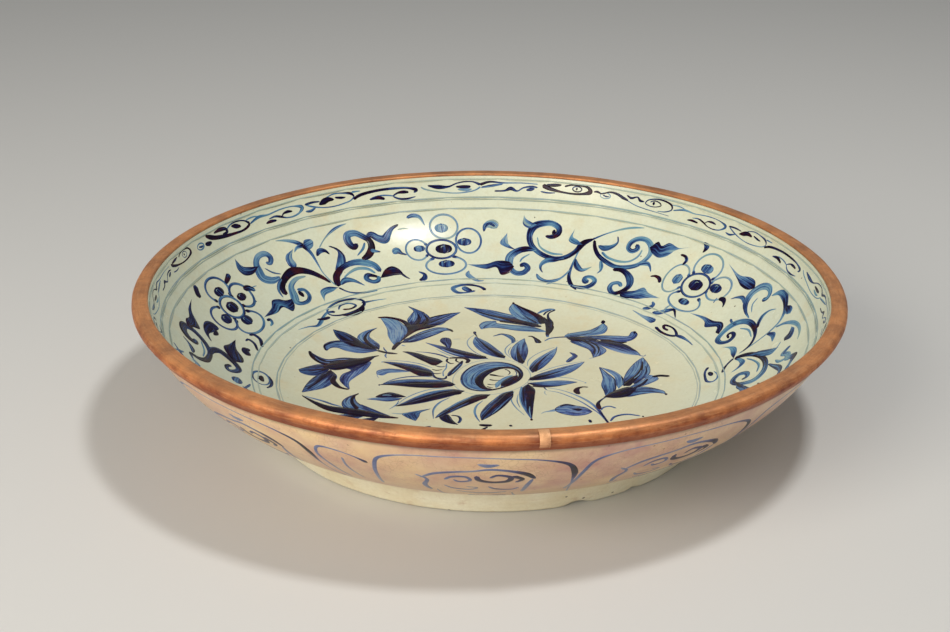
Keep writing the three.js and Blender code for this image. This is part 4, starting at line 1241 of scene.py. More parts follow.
    # Flower up to the left
    line([(-52.4, 40, 2.0), (-51.4, 45, 3.0), (-49, 51, 3.2)], 1.0, 3)
    leaf((-51.6, 46), [(-54, 52), (-56.2, 60), (-57.2, 69), (-60, 77)],
         [(-48.4, 54), (-46, 62), (-45.4, 68), (-48.6, 75.6), (-54, 81)], (-62, 80.8), (0.35, 0.35, 0.6),
         (0.32, 0.27, 0.5), (0.36, 0.3, 0.5), 1, (0.5, 0.66))
    line([(-52.6, 80, 0.7), (-49.8, 74, 1.0), (-48.8, 67, 0.6)], 0.56, 2)
    line([(-63.4, 80.2, 1.4), (-58, 81.8, 2.0), (-51, 80.8, 2.8), (-47, 77.4, 3.6), (-45, 72, 4.0)], 1.0, 3)
    leaf((-50, 48), [(-47.4, 58), (-45.6, 66), (-46.4, 74), (-41, 77)],
         [(-44.4, 60), (-40, 66.6), (-33, 71)], (-29, 74.4), 1.0, 1.0, 1.0, 3)
    leaf((-43, 74), [(-46.4, 81), (-44.4, 88), (-43.4, 91.4)], [(-35.6, 79), (-34.2, 86), (-38, 91)],
         (-46.6, 94.8), 0.95, (0.5, 0.55, 0.6), 0.5, 1, (0.66, 0.9))
    line([(-42, 76, 2.4), (-39.8, 82.6, 2.4), (-40.8, 89, 1.1)], 0.9, 3)
    line([(-37, 76, 2.4), (-35.2, 83, 2.0), (-37.2, 88.6, 1.2)], 0.9, 3)
    line([(-43.4, 80, 0.8), (-42.6, 85.6, 1.3), (-43, 90, 0.6)], 0.3, 4)
    line([(-37, 90.6, 0.8), (-42, 93, 0.9), (-46.8, 95, 0.9)], 0.8, 3)
    leaf((-36, 76), [(-34, 84.4), (-29, 88.4), (-23, 91.4)], [(-28, 75.4), (-23.6, 82.4), (-20, 88.6)],
         (-16.4, 93.2), 0.95, (0.66, 0.4, 0.55), 0.5, 1, (0.85, 0.6))
    line([(-34, 78.4, 2.4), (-28.4, 84, 1.5), (-22, 90, 0.8)], 0.86, 3)
    line([(-34, 85, 1.8), (-29, 88.2, 1.6), (-21, 92, 0.9)], 0.92, 3)
    line([(-30, 77, 2.8), (-26, 80, 1.4), (-23, 84, 0.8)], 0.85, 3)
    leaf((-49, 50), [(-42, 60.4), (-36, 67.4), (-29, 72), (-23, 70.8)],
         [(-42, 51), (-35, 56.4), (-29, 62.4), (-24, 67.6)], (-20.4, 67), (0.95, 0.8, 0.8),
         (0.5, 0.42, 0.66), (0.4, 0.4, 0.6), 1, (0.75, 0.8))
    line([(-47, 53, 3.4), (-42, 58.4, 1.8), (-36, 64, 1.3), (-29.6, 69, 0.8)], 0.84, 3)
    line([(-44.6, 52.4, 1.0), (-38, 58, 1.3), (-32, 64, 0.8)], 0.5, 3)
    line([(-24, 70.4, 1.2), (-21.6, 69, 1.7), (-20.2, 66, 1.6)], 1.0, 3)
    line([(-48, 47, 1.6), (-45.6, 45.4, 0.8)], 0.3)
    # Flower at the left, the upper one
    line([(-49.4, 35, 1.0), (-53, 35.6, 2.6), (-57, 37, 2.4), (-61, 39.4, 2.0)], 0.97, 2)
    line([(-57.8, 44, 0.5), (-57, 40.6, 1.2), (-55.4, 37.4, 0.9)], 0.4)
    line([(-55, 29, 0.5), (-56, 32.4, 1.3), (-55.6, 35.6, 0.9)], 0.36)
    leaf((-60, 40), [(-67, 46.4), (-71.6, 52), (-73, 57), (-70.4, 63)],
         [(-60.4, 47), (-64, 53), (-66.6, 58), (-66.2, 64)], (-63, 69.6), (0.8, 0.9, 0.7),
         (0.42, 0.36, 0.5), 0.45, 1, (0.6, 0.66))
    line([(-61.4, 41.4, 2.6), (-66, 48, 3.0), (-68.8, 55, 2.2), (-68, 61.6, 1.4), (-64.4, 67.6, 0.8)], 0.97,
         3)
    line([(-62.4, 46, 0.8), (-66.4, 53, 1.2), (-67, 59, 0.7)], 0.4, 4)
    leaf((-61, 40), [(-69, 48.4), (-74, 55.4), (-80, 59.6)], [(-70, 41.6), (-78, 46.8), (-84, 53)],
         (-87, 60.2), 1.0, (0.95, 1, 0.95), 0.6, 2, 0.85)
    line([(-75, 51, 1.2), (-80, 55.6, 1.8), (-84, 58.6, 0.8)], 0.6, 4)
    leaf((-60, 39), [(-72, 44.4), (-80, 50.4), (-86.4, 48), (-90.4, 42)],
         [(-69, 35.4), (-77, 37.8), (-83, 41.6), (-86.4, 40.4)], (-88.4, 36.4), (0.9, 0.6, 0.6),
         (0.5, 0.36, 0.44), (0.6, 0.42, 0.6), 1, (0.8, 0.6))
    line([(-66, 40, 1.0), (-74, 43.4, 1.3), (-82, 45.6, 1.2), (-88, 42, 0.8)], 0.62, 3)
    line([(-74, 48, 2.4), (-80, 49.8, 2.2), (-86, 47, 1.6), (-90, 41, 1.4), (-88.6, 36.6, 1.4)], 0.88, 3)
    # Flower at the left, the dark one
    line([(-59.4, 32.4, 1.2), (-63, 30.4, 2.4), (-68, 27, 4.0)], 0.97, 3)
    leaf((-62, 30.6), [(-70, 28.4), (-79, 29), (-87, 26.4), (-93, 29)],
         [(-72, 23), (-82, 20.6), (-90, 22), (-96, 27)], (-97.4, 32.4), 1.0, (0.62, 0.9, 1.0),
         (0.6, 0.85, 1.0), 1, (0.7, 0.95))
    line([(-72, 26.6, 1.2), (-80, 26.6, 1.6), (-88, 24.4, 1.1)], 0.5, 3)
    line([(-94, 27, 0.8), (-90, 23, 1.6), (-84, 21.6, 0.9)], 0.45, 3)
    line([(-97.2, 32.6, 1.8), (-95.6, 27.6, 2.4), (-91, 22.4, 2.6), (-84, 19, 3.4)], 1.0, 3)
    leaf((-61, 31), [(-68, 29), (-78, 26.4), (-85, 22.6)], [(-65.6, 22), (-74, 15.6), (-82, 12.6)],
         (-89, 16.6), 1.0, 1.0, 1.0, 3)
    leaf((-84, 18), [(-90, 19.6), (-96, 15)], [(-86, 11), (-92, 5.2), (-99, 6.2)], (-100.6, 9.4),
         (0.95, 1, 0.95), (0.6, 0.7, 0.6), 0.6, 1, (0.75, 0.8))
    line([(-85, 15, 3.0), (-90, 13, 2.0), (-96, 10.4, 0.9)], 0.95, 3)
    leaf((-84, 13), [(-80, 5), (-81.4, -3), (-85, -9), (-91, -13)], [(-90.4, 6), (-93.4, -1), (-95.2, -9)],
         (-96, -17), 1.0, (0.5, 0.6, 0.62), 0.6, 1, (0.7, 0.8))
    line([(-86, 8, 4.4), (-89.6, -2, 2.6), (-94, -12, 1.3)], 0.9, 3)
    line([(-84.6, 3, 0.8), (-87, -3, 1.3), (-91, -9.6, 0.7)], 0.42, 4)
    leaf((-77, 16), [(-63.6, 24), (-63.8, 19), (-66, 12), (-70, 5), (-73, -2)],
         [(-73, 13), (-77, 8), (-78, 1), (-75, -6)], (-72, -10.6), (0.6, 0.8, 0.9), (0.45, 0.4, 0.62),
         (0.5, 0.45, 0.7), 2, (0.66, 0.7))
    line([(-66, 22, 2.4), (-71, 14, 2.8), (-76, 6, 1.6), (-76.6, -1, 0.9)], 0.7, 3)
    line([(-81, 6, 2.4), (-81.6, 0, 3.4), (-80, -4.4, 3.4), (-77, -8.6, 2.4), (-72.2, -11, 1.6)], 1.0, 4)
    # Flower at the front left, half under the rim from the photograph's side
    line([(-44.6, -43.4, 1.2), (-52, -42, 4.0), (-60, -39.4, 6.6), (-70, -36.4, 7.6), (-80, -33.4, 5.6),
          (-88, -27.6, 3.2), (-95.6, -20.8, 1.0)], 1.0, 3)
    line([(-94, -21, 1.0), (-86, -24, 1.6), (-78.6, -29, 1.6), (-74, -31.4, 1.0)], 0.45, 2)
    leaf((-57, -38), [(-72.4, -33), (-74.4, -26), (-72.4, -20.4)],
         [(-61.4, -32), (-66.8, -26), (-68.4, -19.4)], (-67, -15.4), 0.9, (0.66, 0.34, 0.7), 0.8, 1,
         (0.72, 0.8))
    line([(-66, -34, 3.0), (-69.4, -26, 2.2), (-69.4, -19.6, 1.7), (-66.8, -15.4, 1.3)], 0.97, 4)
    line([(-70, -31, 0.8), (-71.8, -26, 1.2), (-70.8, -20.4, 0.7)], 0.25, 4)
    line([(-49, -41.6, 1.2), (-54, -38.4, 2.4), (-60, -33.4, 2.6), (-65, -28.4, 1.2)], 0.66, 2)
    leaf((-60, -40), [(-70, -48), (-80, -54), (-88, -56)], [(-72, -40), (-82, -44), (-90, -50)], (-94, -58),
         1.0, (0.6, 0.5, 0.8), 0.5, 1, (0.8, 0.66))
    leaf((-54, -42), [(-60, -52), (-67, -62), (-70, -68)], [(-64, -46), (-72, -56), (-74, -64)], (-73, -72),
         1.0, (0.55, 0.5, 0.8), 0.5, 1, (0.8, 0.66))
    # Flower at the back
    line([(33, 60, 1.6, 0.4), (33, 64, 2.4, 0.9), (34, 69, 4.0, 1), (34.6, 75, 5.0, 1), (33.6, 81, 4.0, 1),
          (31, 88, 2.0, 1)], 1.0, 3)
    leaf((28, 74.4), [(14, 80.6), (5, 83), (-2, 88), (-9, 94.6)],
         [(22, 87), (12, 91.6), (2, 96), (-7, 97.8)], (-14.4, 98.6), 1.0, (0.45, 0.66, 0.6),
         (0.5, 0.5, 0.5), 1, (0.66, 0.66))
    line([(28, 75.4, 6.4), (22, 79.4, 5.6), (15, 83, 4.6), (8, 86.6, 2.8), (0, 91, 1.7), (-8, 95.8, 0.9)],
         0.98, 3)
    line([(8, 84.4, 1.3), (3, 87, 1.6), (-3, 91, 0.8)], 0.3, 4)
    line([(17, 88, 1.0), (10, 91, 1.5), (2, 94.6, 0.8)], 0.4, 4)
    leaf((30, 78), [(24, 81), (18, 84.6), (13.6, 91), (11.8, 98)], [(29, 88), (24, 94), (17.6, 100)],
         (14, 103), (0.6, 0.8, 1), (0.3, 0.34, 0.9), (0.3, 0.3, 0.9), 2, (0.5, 0.95))
    line([(31, 79, 5.0), (29.4, 87, 4.6), (24.6, 93.4, 3.2), (18.6, 99, 1.6), (14.6, 102.6, 1.0)], 1.0, 4)
    line([(27, 81, 2.0), (22.4, 87, 1.7), (18, 94, 0.8)], 0.76, 4)
    line([(23, 82.6, 1.0), (18.6, 87.6, 1.0), (15.4, 94, 0.6)], 0.6, 4)
    dot((14.2, 102.8), 1.4, 1.0)
    line([(35, 74, 3.2), (35.6, 81, 2.8), (34, 88, 1.7), (34.6, 92, 1.2), (38.4, 94.8, 1.4)], 0.98, 3)
    line([(28, 92, 1.4), (31.4, 94.6, 2.4), (36, 95.6, 1.8), (38.6, 94.4, 1.4)], 0.45, 2)
    line([(31.4, 90, 1.2), (33, 93, 1.4), (36.4, 95, 1.0)], 0.85, 3)
    leaf((33, 67.6), [(26, 67.6), (16, 68.8), (8, 71.6), (2, 72.6)],
         [(25, 74.4), (14, 76.8), (6, 78.6), (1, 80)], (-4, 70.8), (0.5, 0.5, 0.9), (0.42, 0.33, 0.5), 0.36,
         1, (0.55, 0.4))
    leaf((4, 82.4), [(-2.6, 81), (-5.2, 76)], [(4, 78), (-0.6, 73.6)], (-4.2, 70), 0.5, (0.45, 0.36, 0.4),
         0.5, 2, (0.72, 0.5))
    line([(30, 75, 3.4), (22, 77, 2.4), (14, 79.6, 2.4), (6, 82.4, 2.8)], 0.94, 3)
    # The front of the well, which the rim hides in the photograph, repeats the sprigs that show
    line([(66, -62, 1.6, 0.8), (60, -70, 1.6, 0.6), (50, -74, 1.6, 0.5), (40, -78, 1.4, 0.6)])
    leaf((66, -60), [(72, -62), (80, -64), (88, -62)], [(68, -54), (76, -54), (84, -56)], (92, -58), 0.95,
         (0.5, 0.4, 0.66), 0.4, 1, (0.7, 0.66))
    leaf((66, -62), [(62, -72), (66, -80), (72, -86)], [(72, -68), (77, -76), (78, -82)], (77, -88), 0.95,
         (0.45, 0.4, 0.6), 0.4, 1, (0.66, 0.7))
    line([(66, -60, 3.4), (73, -68, 2.4), (76, -78, 1.4)], 0.98, 3)
    line([(66, -60, 3.0), (76, -59, 2.2), (86, -59, 1.0)], 0.98, 3)
    leaf((40, -78), [(32, -76), (24, -78), (16, -84)], [(34, -84), (26, -88), (20, -90)], (10, -90), 0.95,
         (0.45, 0.4, 0.6), 0.4, 1, (0.66, 0.7))
    leaf((40, -78), [(38, -88), (40, -96), (46, -100)], [(44, -84), (48, -92), (48, -98)], (50, -104), 0.95,
         (0.45, 0.4, 0.6), 0.4, 1, (0.66, 0.7))
    line([(41, -77, 3.6), (34, -80, 3.0), (24, -84, 1.4)], 0.98, 3)
    line([(41, -77, 3.4), (42, -87, 2.6), (46, -97, 1.2)], 0.98, 3)
    leaf((-10, -62), [(-22, -66), (-30, -72), (-36, -80)], [(-18, -74), (-24, -80), (-30, -86)], (-40, -90),
         0.95, (0.5, 0.42, 0.66), 0.4, 1, (0.7, 0.66))
    leaf((-10, -62), [(-10, -74), (-12, -84), (-14, -92)], [(-2, -72), (-2, -82), (-6, -92)], (-12, -100),
         0.95, (0.45, 0.4, 0.6), 0.4, 1, (0.66, 0.7))
    line([(0, -52, 1.4), (-4, -57, 2.4), (-9, -62, 3.6), (-18, -70, 3.4), (-29, -80, 1.4)], 0.98, 3)
    line([(-9, -62, 3.4), (-7, -76, 2.6), (-9, -90, 1.2)], 0.98, 3)
    line([(-28, -52, 1.4), (-36, -56, 3.0), (-44, -60, 2.0), (-50, -60, 1.0)], 0.7)
    line([(24, -58, 2.2), (29, -62, 3.2), (29, -67, 2.0), (25, -70, 1.2)], 0.9)
    well.done(COBALT, "inner_glaze")


# The wall, in degrees round the dish and millimetres above the ring between well and wall

def open_ring(brush, centre, radii, width, tone, middle, layer):
    """An oval line that stops where the middle oval of a rosette covers it."""
    spread = float(brush.spread(np.array([centre[0]], float), np.array([centre[1]], float))[0])
    steps = 36
    angle = np.radians(np.arange(steps) * 360 / steps)
    a = centre[0] + radii[0] * np.cos(angle) / spread
    b = centre[1] + radii[1] * np.sin(angle)
    far = np.hypot((a - middle[0]) * spread / middle[2], (b - middle[1]) / middle[3]) > 0.98
    if far.all():
        brush.ring(centre, radii, width, tone, layer)
        return
    first = next(i for i in range(steps) if far[i] and not far[i - 1])
    points = []
    for i in range(first, first + steps):
        if not far[i % steps]:
            break
        points.append((a[i % steps], b[i % steps], width, tone))
    for i in (0, 1, -2, -1):  # the brush starts and ends each petal with a darker touch on the middle oval
        points[i] = (*points[i][:2], width * 1.5, min(tone + 0.4, 1))
    brush.stroke(points, tone, layer)


def eye(brush, centre, radii, tone):
    """A filled oval, heaped dark at one side, with a touch left pale."""
    a, b = centre
    reach = radii[0] / float(brush.spread(np.array([a], float), np.array([b], float))[0])
    up = radii[1]
    brush.leaf((a, b - up),
               [(a + 0.8 * reach, b - 0.62 * up), (a + reach, b), (a + 0.8 * reach, b + 0.62 * up)],
               [(a - 0.8 * reach, b - 0.62 * up), (a - reach, b), (a - 0.8 * reach, b + 0.62 * up)],
               (a, b + up), tone, (tone, tone * 0.86, tone), tone * 0.9, 5)
    brush.stroke([(a + 0.3 * reach, b + 0.2 * up, 0.5), (a + 0.2 * reach, b + 0.5 * up, 0.7),
                  (a - 0.15 * reach, b + 0.55 * up, 0.4)], 0.1, 6)


# A rosette is five ovals (degrees, mm above the ring, half width and half height in mm, tone, line width),
# the middle one first, and an eye in each (degrees, mm, half width, half height, tone). Commas are the
# touches round it.
ROSETTE_A = ([(125.5, 24.4, 9.3, 8.2, 0.62, 1.1), (125.8, 37.2, 9.2, 8.8, 0.2, 1.0),
              (119.2, 28.8, 7.6, 7.8, 0.32, 1.0), (124.6, 12.4, 11.2, 6.2, 0.3, 1.0),
              (131.7, 23.7, 6.8, 9.7, 0.16, 0.9)],
             [(125.6, 24.6, 5, 4, 1.0), (125.9, 36.4, 4.6, 3.2, 0.62), (120.1, 28.2, 4.6, 3.2, 0.85),
              (124.7, 12.2, 4.2, 2.3, 0.75), (131.2, 23.8, 3.2, 3.8, 0.5)])
ROSETTE_B = (
    [(191.7, 23, 9, 6.6, 0.6, 1.1), (190.4, 38.4, 8, 7.8, 0.2, 1.0), (185, 28.1, 7.2, 8.3, 0.4, 1.0),
     (191.2, 11.2, 11.4, 6.5, 0.3, 1.0), (197.6, 23.8, 6.4, 7, 0.3, 0.9)],
    [(191.1, 23.2, 5.2, 3.5, 1.0), (191, 37.6, 4.2, 3.2, 0.35), (186, 27.5, 4.4, 2.8, 0.7),
     (191, 12.2, 5, 2.8, 0.75), (197, 24.6, 3.6, 2.4, 0.55)])
ROSETTE_C = (
    [(253.8, 26.6, 8, 7.6, 0.6, 1.3), (253, 38.8, 9.2, 7.4, 0.55, 1.2), (248.1, 28.5, 7.2, 7.9, 0.6, 1.3),
     (254, 13.7, 11, 7, 0.5, 1.2), (259.4, 25.2, 7.6, 8, 0.55, 1.2)],
    [(253.7, 26.5, 4.8, 3.9, 1.0), (253, 37.5, 4.4, 3.1, 0.95), (248.5, 27.9, 3.9, 2.7, 1.0),
     (254, 15.9, 4.5, 3.6, 0.88), (258.8, 24.1, 4.4, 3.5, 0.95)])
COMMAS_A = [[(130.6, 50.4, 1.0, 0.7), (129.4, 48.4, 3.4, 0.6), (129.4, 46, 2.0, 1), (129.6, 44.4, 0.8, 1)],
            [(134.4, 38.8, 1.4, 1), (133, 38.6, 1.8, 0.9), (132.2, 36.6, 2.2, 0.55), (132.4, 33, 1.4, 1)],
            [(138.2, 19.6, 1.0, 1), (137, 20.8, 1.8, 1), (135.6, 20, 2.4, 0.95), (134.8, 17.4, 2.0, 1)],
            [(117, 24, 2.6, 1), (115.6, 24.8, 3.0, 1), (114.4, 23, 1.6, 0.95), (113.8, 20.8, 0.8, 0.8)],
            [(117.6, 24, 0.8, 0.4), (117.2, 20, 0.9, 0.3)],
            [(129.8, -2.8, 1.6, 0.7), (128, -1.4, 3.2, 0.5), (126.6, 2, 3.0, 0.5), (125, 4.6, 1.8, 0.85),
             (123.4, 2.4, 1.2, 0.9), (122.2, 0.4, 0.6, 0.7)],
            [(127, 7, 0.9, 0.2), (127.4, 3.6, 1.4, 0.25), (127, 0.4, 1.0, 0.3)],
            [(133.4, -3, 1.6, 0.35), (131.8, -0.6, 3.0, 0.5), (131.6, 2.4, 2.2, 0.4), (132.6, 4, 1.0, 0.3)]]
COMMAS_B = [
    [(198.4, 46, 1.6, 0.55), (197, 47.2, 2.6, 0.35), (195.6, 46, 2.2, 0.25), (194.6, 40, 0.6, 0.15)],
    [(203.6, 23, 2.4, 0.6), (202.6, 25, 4.4, 0.45), (201.6, 22.8, 2.0, 0.8), (200.4, 21.2, 1.0, 0.8)],
    [(198.8, 8.2, 1.0, 0.5), (197.4, 5.4, 2.2, 0.7), (197.8, 2.6, 3.2, 0.7), (199.4, 1.4, 1.4, 0.9)],
    [(201, 39, 0.8, 0.1), (199.6, 39.4, 1.0, 0.08), (198.4, 38.6, 0.6, 0.05)]]
COMMAS_C = [[(257.8, 48.6, 3.4, 0.8), (258.8, 46, 3.8, 0.9), (259.8, 42, 3.8, 1)],
            [(249.4, 39, 2.0, 1), (248, 40.4, 3.0, 1), (246.4, 42.4, 3.4, 0.7)],
            [(246.2, 30.6, 3.4, 1), (244.6, 30, 3.8, 0.8), (243.4, 26.6, 2.4, 0.5)],
            [(244.2, 29.4, 1.0, 0.6), (242, 28.8, 0.6, 0.2)],
            [(246.4, 22.6, 1.2, 0.8), (246, 20.6, 1.8, 0.7)],
            [(250.2, 4.6, 0.9, 0.3), (248.6, 5.4, 1.8, 0.5), (248, 7.8, 2.2, 0.7), (249.2, 8.2, 1.6, 0.9)],
            [(271.2, 24.6, 0.8, 0.8), (269, 28.6, 2.8, 0.9), (267, 29, 6.0, 0.9), (265.2, 28, 7.0, 0.86),
             (264.2, 24, 2.4, 0.85)], [(268, 24.8, 1.0, 1), (266.6, 24.2, 3.2, 1), (265.4, 26, 2.0, 1)],
            [(265, 7, 3.0, 0.9), (267, 5.6, 4.6, 0.85), (267.6, 2.6, 3.4, 0.95)],
            [(266.6, 7.4, 2.0, 1), (264.8, 4.4, 3.0, 1)],
            [(262.2, 8.8, 0.9, 0.7), (260.8, 8, 1.8, 0.8), (261, 4.4, 2.0, 0.8), (263.6, 0.4, 1.4, 1)],
            [(259, 9, 1.2, 1), (257.6, 7.6, 2.2, 0.9), (257.8, 3.4, 2.4, 0.85), (260.8, -0.4, 1.8, 1)]]


def rosette(brush, shape, commas):
    rings, eyes = shape
    middle = rings[0]
    brush.ring(middle[:2], middle[2:4], middle[5] * 1.4, middle[4], 4)
    for a, b, rx, ry, tone, width in rings[1:]:
        open_ring(brush, (a, b), (rx * 1.05, ry * 1.04), width * 1.35, tone, middle, 2)
    for a, b, rx, ry, tone in eyes:
        eye(brush, (a, b), (rx, ry), tone)
    for comma in commas:
        brush.stroke(comma, layer=2)


def paint_wall_rosettes():
    wall = Brush("painted_wall_rosettes", "wall")
    wall.coarse = 1.2
    wall.press = 1.12
    # The last three, at the front, repeat the three that the photograph shows
    for shape, commas, turn in ((ROSETTE_A, COMMAS_A, 0), (ROSETTE_B, COMMAS_B, 0),
                                (ROSETTE_C, COMMAS_C, 0), (ROSETTE_A, COMMAS_A, -64.6),
                                (ROSETTE_B, COMMAS_B, -186.2), (ROSETTE_C, [], 56)):
        wall.turn = turn
        rosette(wall, shape, commas)
    wall.done(COBALT, "inner_glaze")


def scroll_at_92(brush):
    line, leaf = brush.stroke, brush.leaf
    line([(93.3, 12, 1.2, 0.8), (94.2, 17, 1.8, 0.9), (96.4, 21.6, 1.8, 0.8), (100, 24.4, 3.2, 0.95),
          (103, 24, 3.6, 0.6), (105, 21, 4.0, 0.45), (106, 16.6, 4.4, 0.4), (105.6, 10, 3.2, 0.3),
          (104.2, 5, 3.0, 0.6), (102.2, 5.2, 2.8, 0.6), (101, 9, 2.8, 0.7), (101.8, 13, 2.6, 0.8),
          (103.4, 13.4, 2.0, 0.8), (103.6, 11, 1.6, 1), (102, 10, 1.4, 1)], layer=2)
    line([(103, 18.2, 0.8), (100.4, 21, 1.3), (97, 20, 0.8)], 0.24, 2)
    line([(108.4, 18.4, 1.6), (106.8, 17.4, 1.4), (105.2, 18.4, 2.0)], 0.75, 2)
    leaf((106, 7.6), [(107.6, 12.6), (109.4, 14), (112, 11.6), (115.8, 10.4)],
         [(107.4, 7), (109, 9.8), (112, 5.4), (114, 8)], (120.4, 7.6), 1.0, (0.9, 0.6, 1.0), 0.25, 3)
    line([(93.3, 10, 1.0, 0.6), (94.1, 23.5, 1.1, 0.25), (94.5, 31, 1.4, 0.35), (95.2, 37, 1.7, 0.3),
          (96.8, 42, 2.4, 0.5), (98.8, 45.2, 3.2, 0.8), (101.2, 47.4, 4.4, 0.6), (103.2, 46.8, 3.2, 0.45),
          (104.6, 42.6, 1.0, 0.4)], layer=1)
    leaf((98, 44.8), [(96.8, 46.8), (95.4, 46.6)], [(97, 42.4), (95.6, 41.8)], (94.6, 44), 1.0,
         (1, 0.8, 0.5), 0.3, 3)
    line([(94.3, 33.6, 1.4, 0.5), (93.2, 38.6, 2.0, 0.4), (91.2, 42.6, 2.6, 0.3), (88.4, 45, 2.2, 0.25),
          (85.6, 44.8, 1.6, 0.2), (83, 42.6, 0.6, 0.1)], layer=2)
    leaf((90, 41.4), [(88.4, 42.6), (86, 39)], [(88.4, 38), (88, 35.4)], (86.8, 34.8), 0.4, (0.6, 0.7, 1.0),
         0.8, 2)
    line([(94.3, 28, 1.6, 0.7), (92.4, 30.4, 3.2, 0.55), (89.8, 28.6, 0.6, 0.3)], layer=2)
    line([(99.8, 39.6, 0.6, 0.3), (101.2, 36, 1.4, 0.4), (101.4, 32, 2.4, 0.5), (100.4, 28, 2.4, 0.7),
          (98.8, 25.2, 1.6, 1)], layer=2)
    line([(104, 25.4, 0.8, 0.4), (107, 27, 2.0, 0.7), (109.4, 31, 3.6, 0.6), (110.2, 37, 4.4, 0.35),
          (109.2, 43, 4.4, 0.35), (107.2, 45, 3.6, 0.3), (105.6, 43, 2.6, 0.4), (105.2, 39.6, 2.6, 0.5),
          (106, 37.4, 3.4, 0.7)], layer=2)
    line([(105.2, 28.6, 0.6), (107.2, 32.4, 1.0), (107.6, 37, 0.7)], 0.4, 2)
    line([(109.6, 30, 1.6), (111.5, 31.8, 2.4), (113, 30, 1.4), (114, 27.4, 0.6)], 0.55, 2)
    leaf((110.6, 40), [(112, 43.4), (114, 43.8), (117, 41.8)], [(112, 37), (114.6, 36.6), (117, 39)],
         (121.8, 44.4), 1.0, (0.6, 0.55, 1.0), 0.2, 3)
    line([(92.2, 7, 2.4, 1), (91.4, 12, 3.2, 1), (89.6, 16.8, 3.4, 1), (86.8, 20.4, 3.0, 1),
          (83.6, 22.4, 3.0, 0.9), (80.4, 22.4, 3.2, 0.7), (77.8, 20.4, 4.2, 0.45), (76.4, 16.4, 4.8, 0.3),
          (77, 11, 3.4, 0.5), (78.6, 5.8, 2.8, 0.8), (81, 4, 3.0, 0.7), (83, 7, 3.4, 0.6),
          (82.2, 11.4, 3.0, 0.55), (80, 12, 2.4, 0.6), (79.6, 9, 2.2, 0.75)], layer=2)
    line([(89.2, 13, 0.9), (86.3, 16.6, 1.2), (83, 18.8, 1.5), (80, 17.6, 1.0)], 0.36, 2)
    leaf((79.4, 6), [(76.6, 10), (74, 13.8), (71.8, 16.4)], [(76, 6.6), (73.6, 9.2), (71, 8.4)], (69.4, 10),
         1.0, (1.0, 0.6, 0.4), 0.35, 3)
    leaf((90.8, 12), [(89.6, 20), (88, 25), (86.6, 29)], [(88.4, 18), (86, 22), (84.8, 26.4)], (86, 31),
         (1, 0.9, 0.6), (0.9, 0.5, 0.8), 0.35, 3)
    line([(87.4, 33, 0.8), (86, 30, 0.9)], 0.3, 2)
    line([(83, 38, 2.4, 0.45), (81.6, 33.4, 3.4, 0.5), (80, 36, 3.4, 0.3), (78, 36.6, 4.4, 0.3),
          (77, 40.4, 4.4, 0.95), (74.4, 38.6, 2.4, 0.6), (72.6, 37.4, 2.6, 0.6), (70, 41.6, 0.9, 0.3)],
         layer=2)
    line([(81, 28.4, 1.0, 0.4), (79, 31, 2.4, 0.3), (78.4, 35, 2.4, 0.3)], layer=1)
    line([(81, 24.4, 1.0), (79.4, 26.4, 2.0), (76.3, 30.8, 3.4), (74, 32.6, 2.4), (70.6, 30.6, 0.7)], 0.7,
         2)
    leaf((92.2, 6.4), [(94.6, 9.6), (97, 10.4)], [(94.6, 6), (97.6, 6.8)], (100.2, 4), 0.8,
         (0.4, 0.35, 0.5), 0.15, 2)
    line([(92, 7, 1.4, 0.8), (90, 9.6, 2.4, 0.4), (88.2, 10.2, 3.0, 0.6), (86.8, 7.6, 1.8, 0.5),
          (85.8, 3.4, 0.7, 0.3)], layer=2)
    line([(92.4, 6.6, 1.8), (91, 2.6, 1.4), (89.4, 0, 1.7), (87.6, -1.4, 1.3)], 0.85, 2)


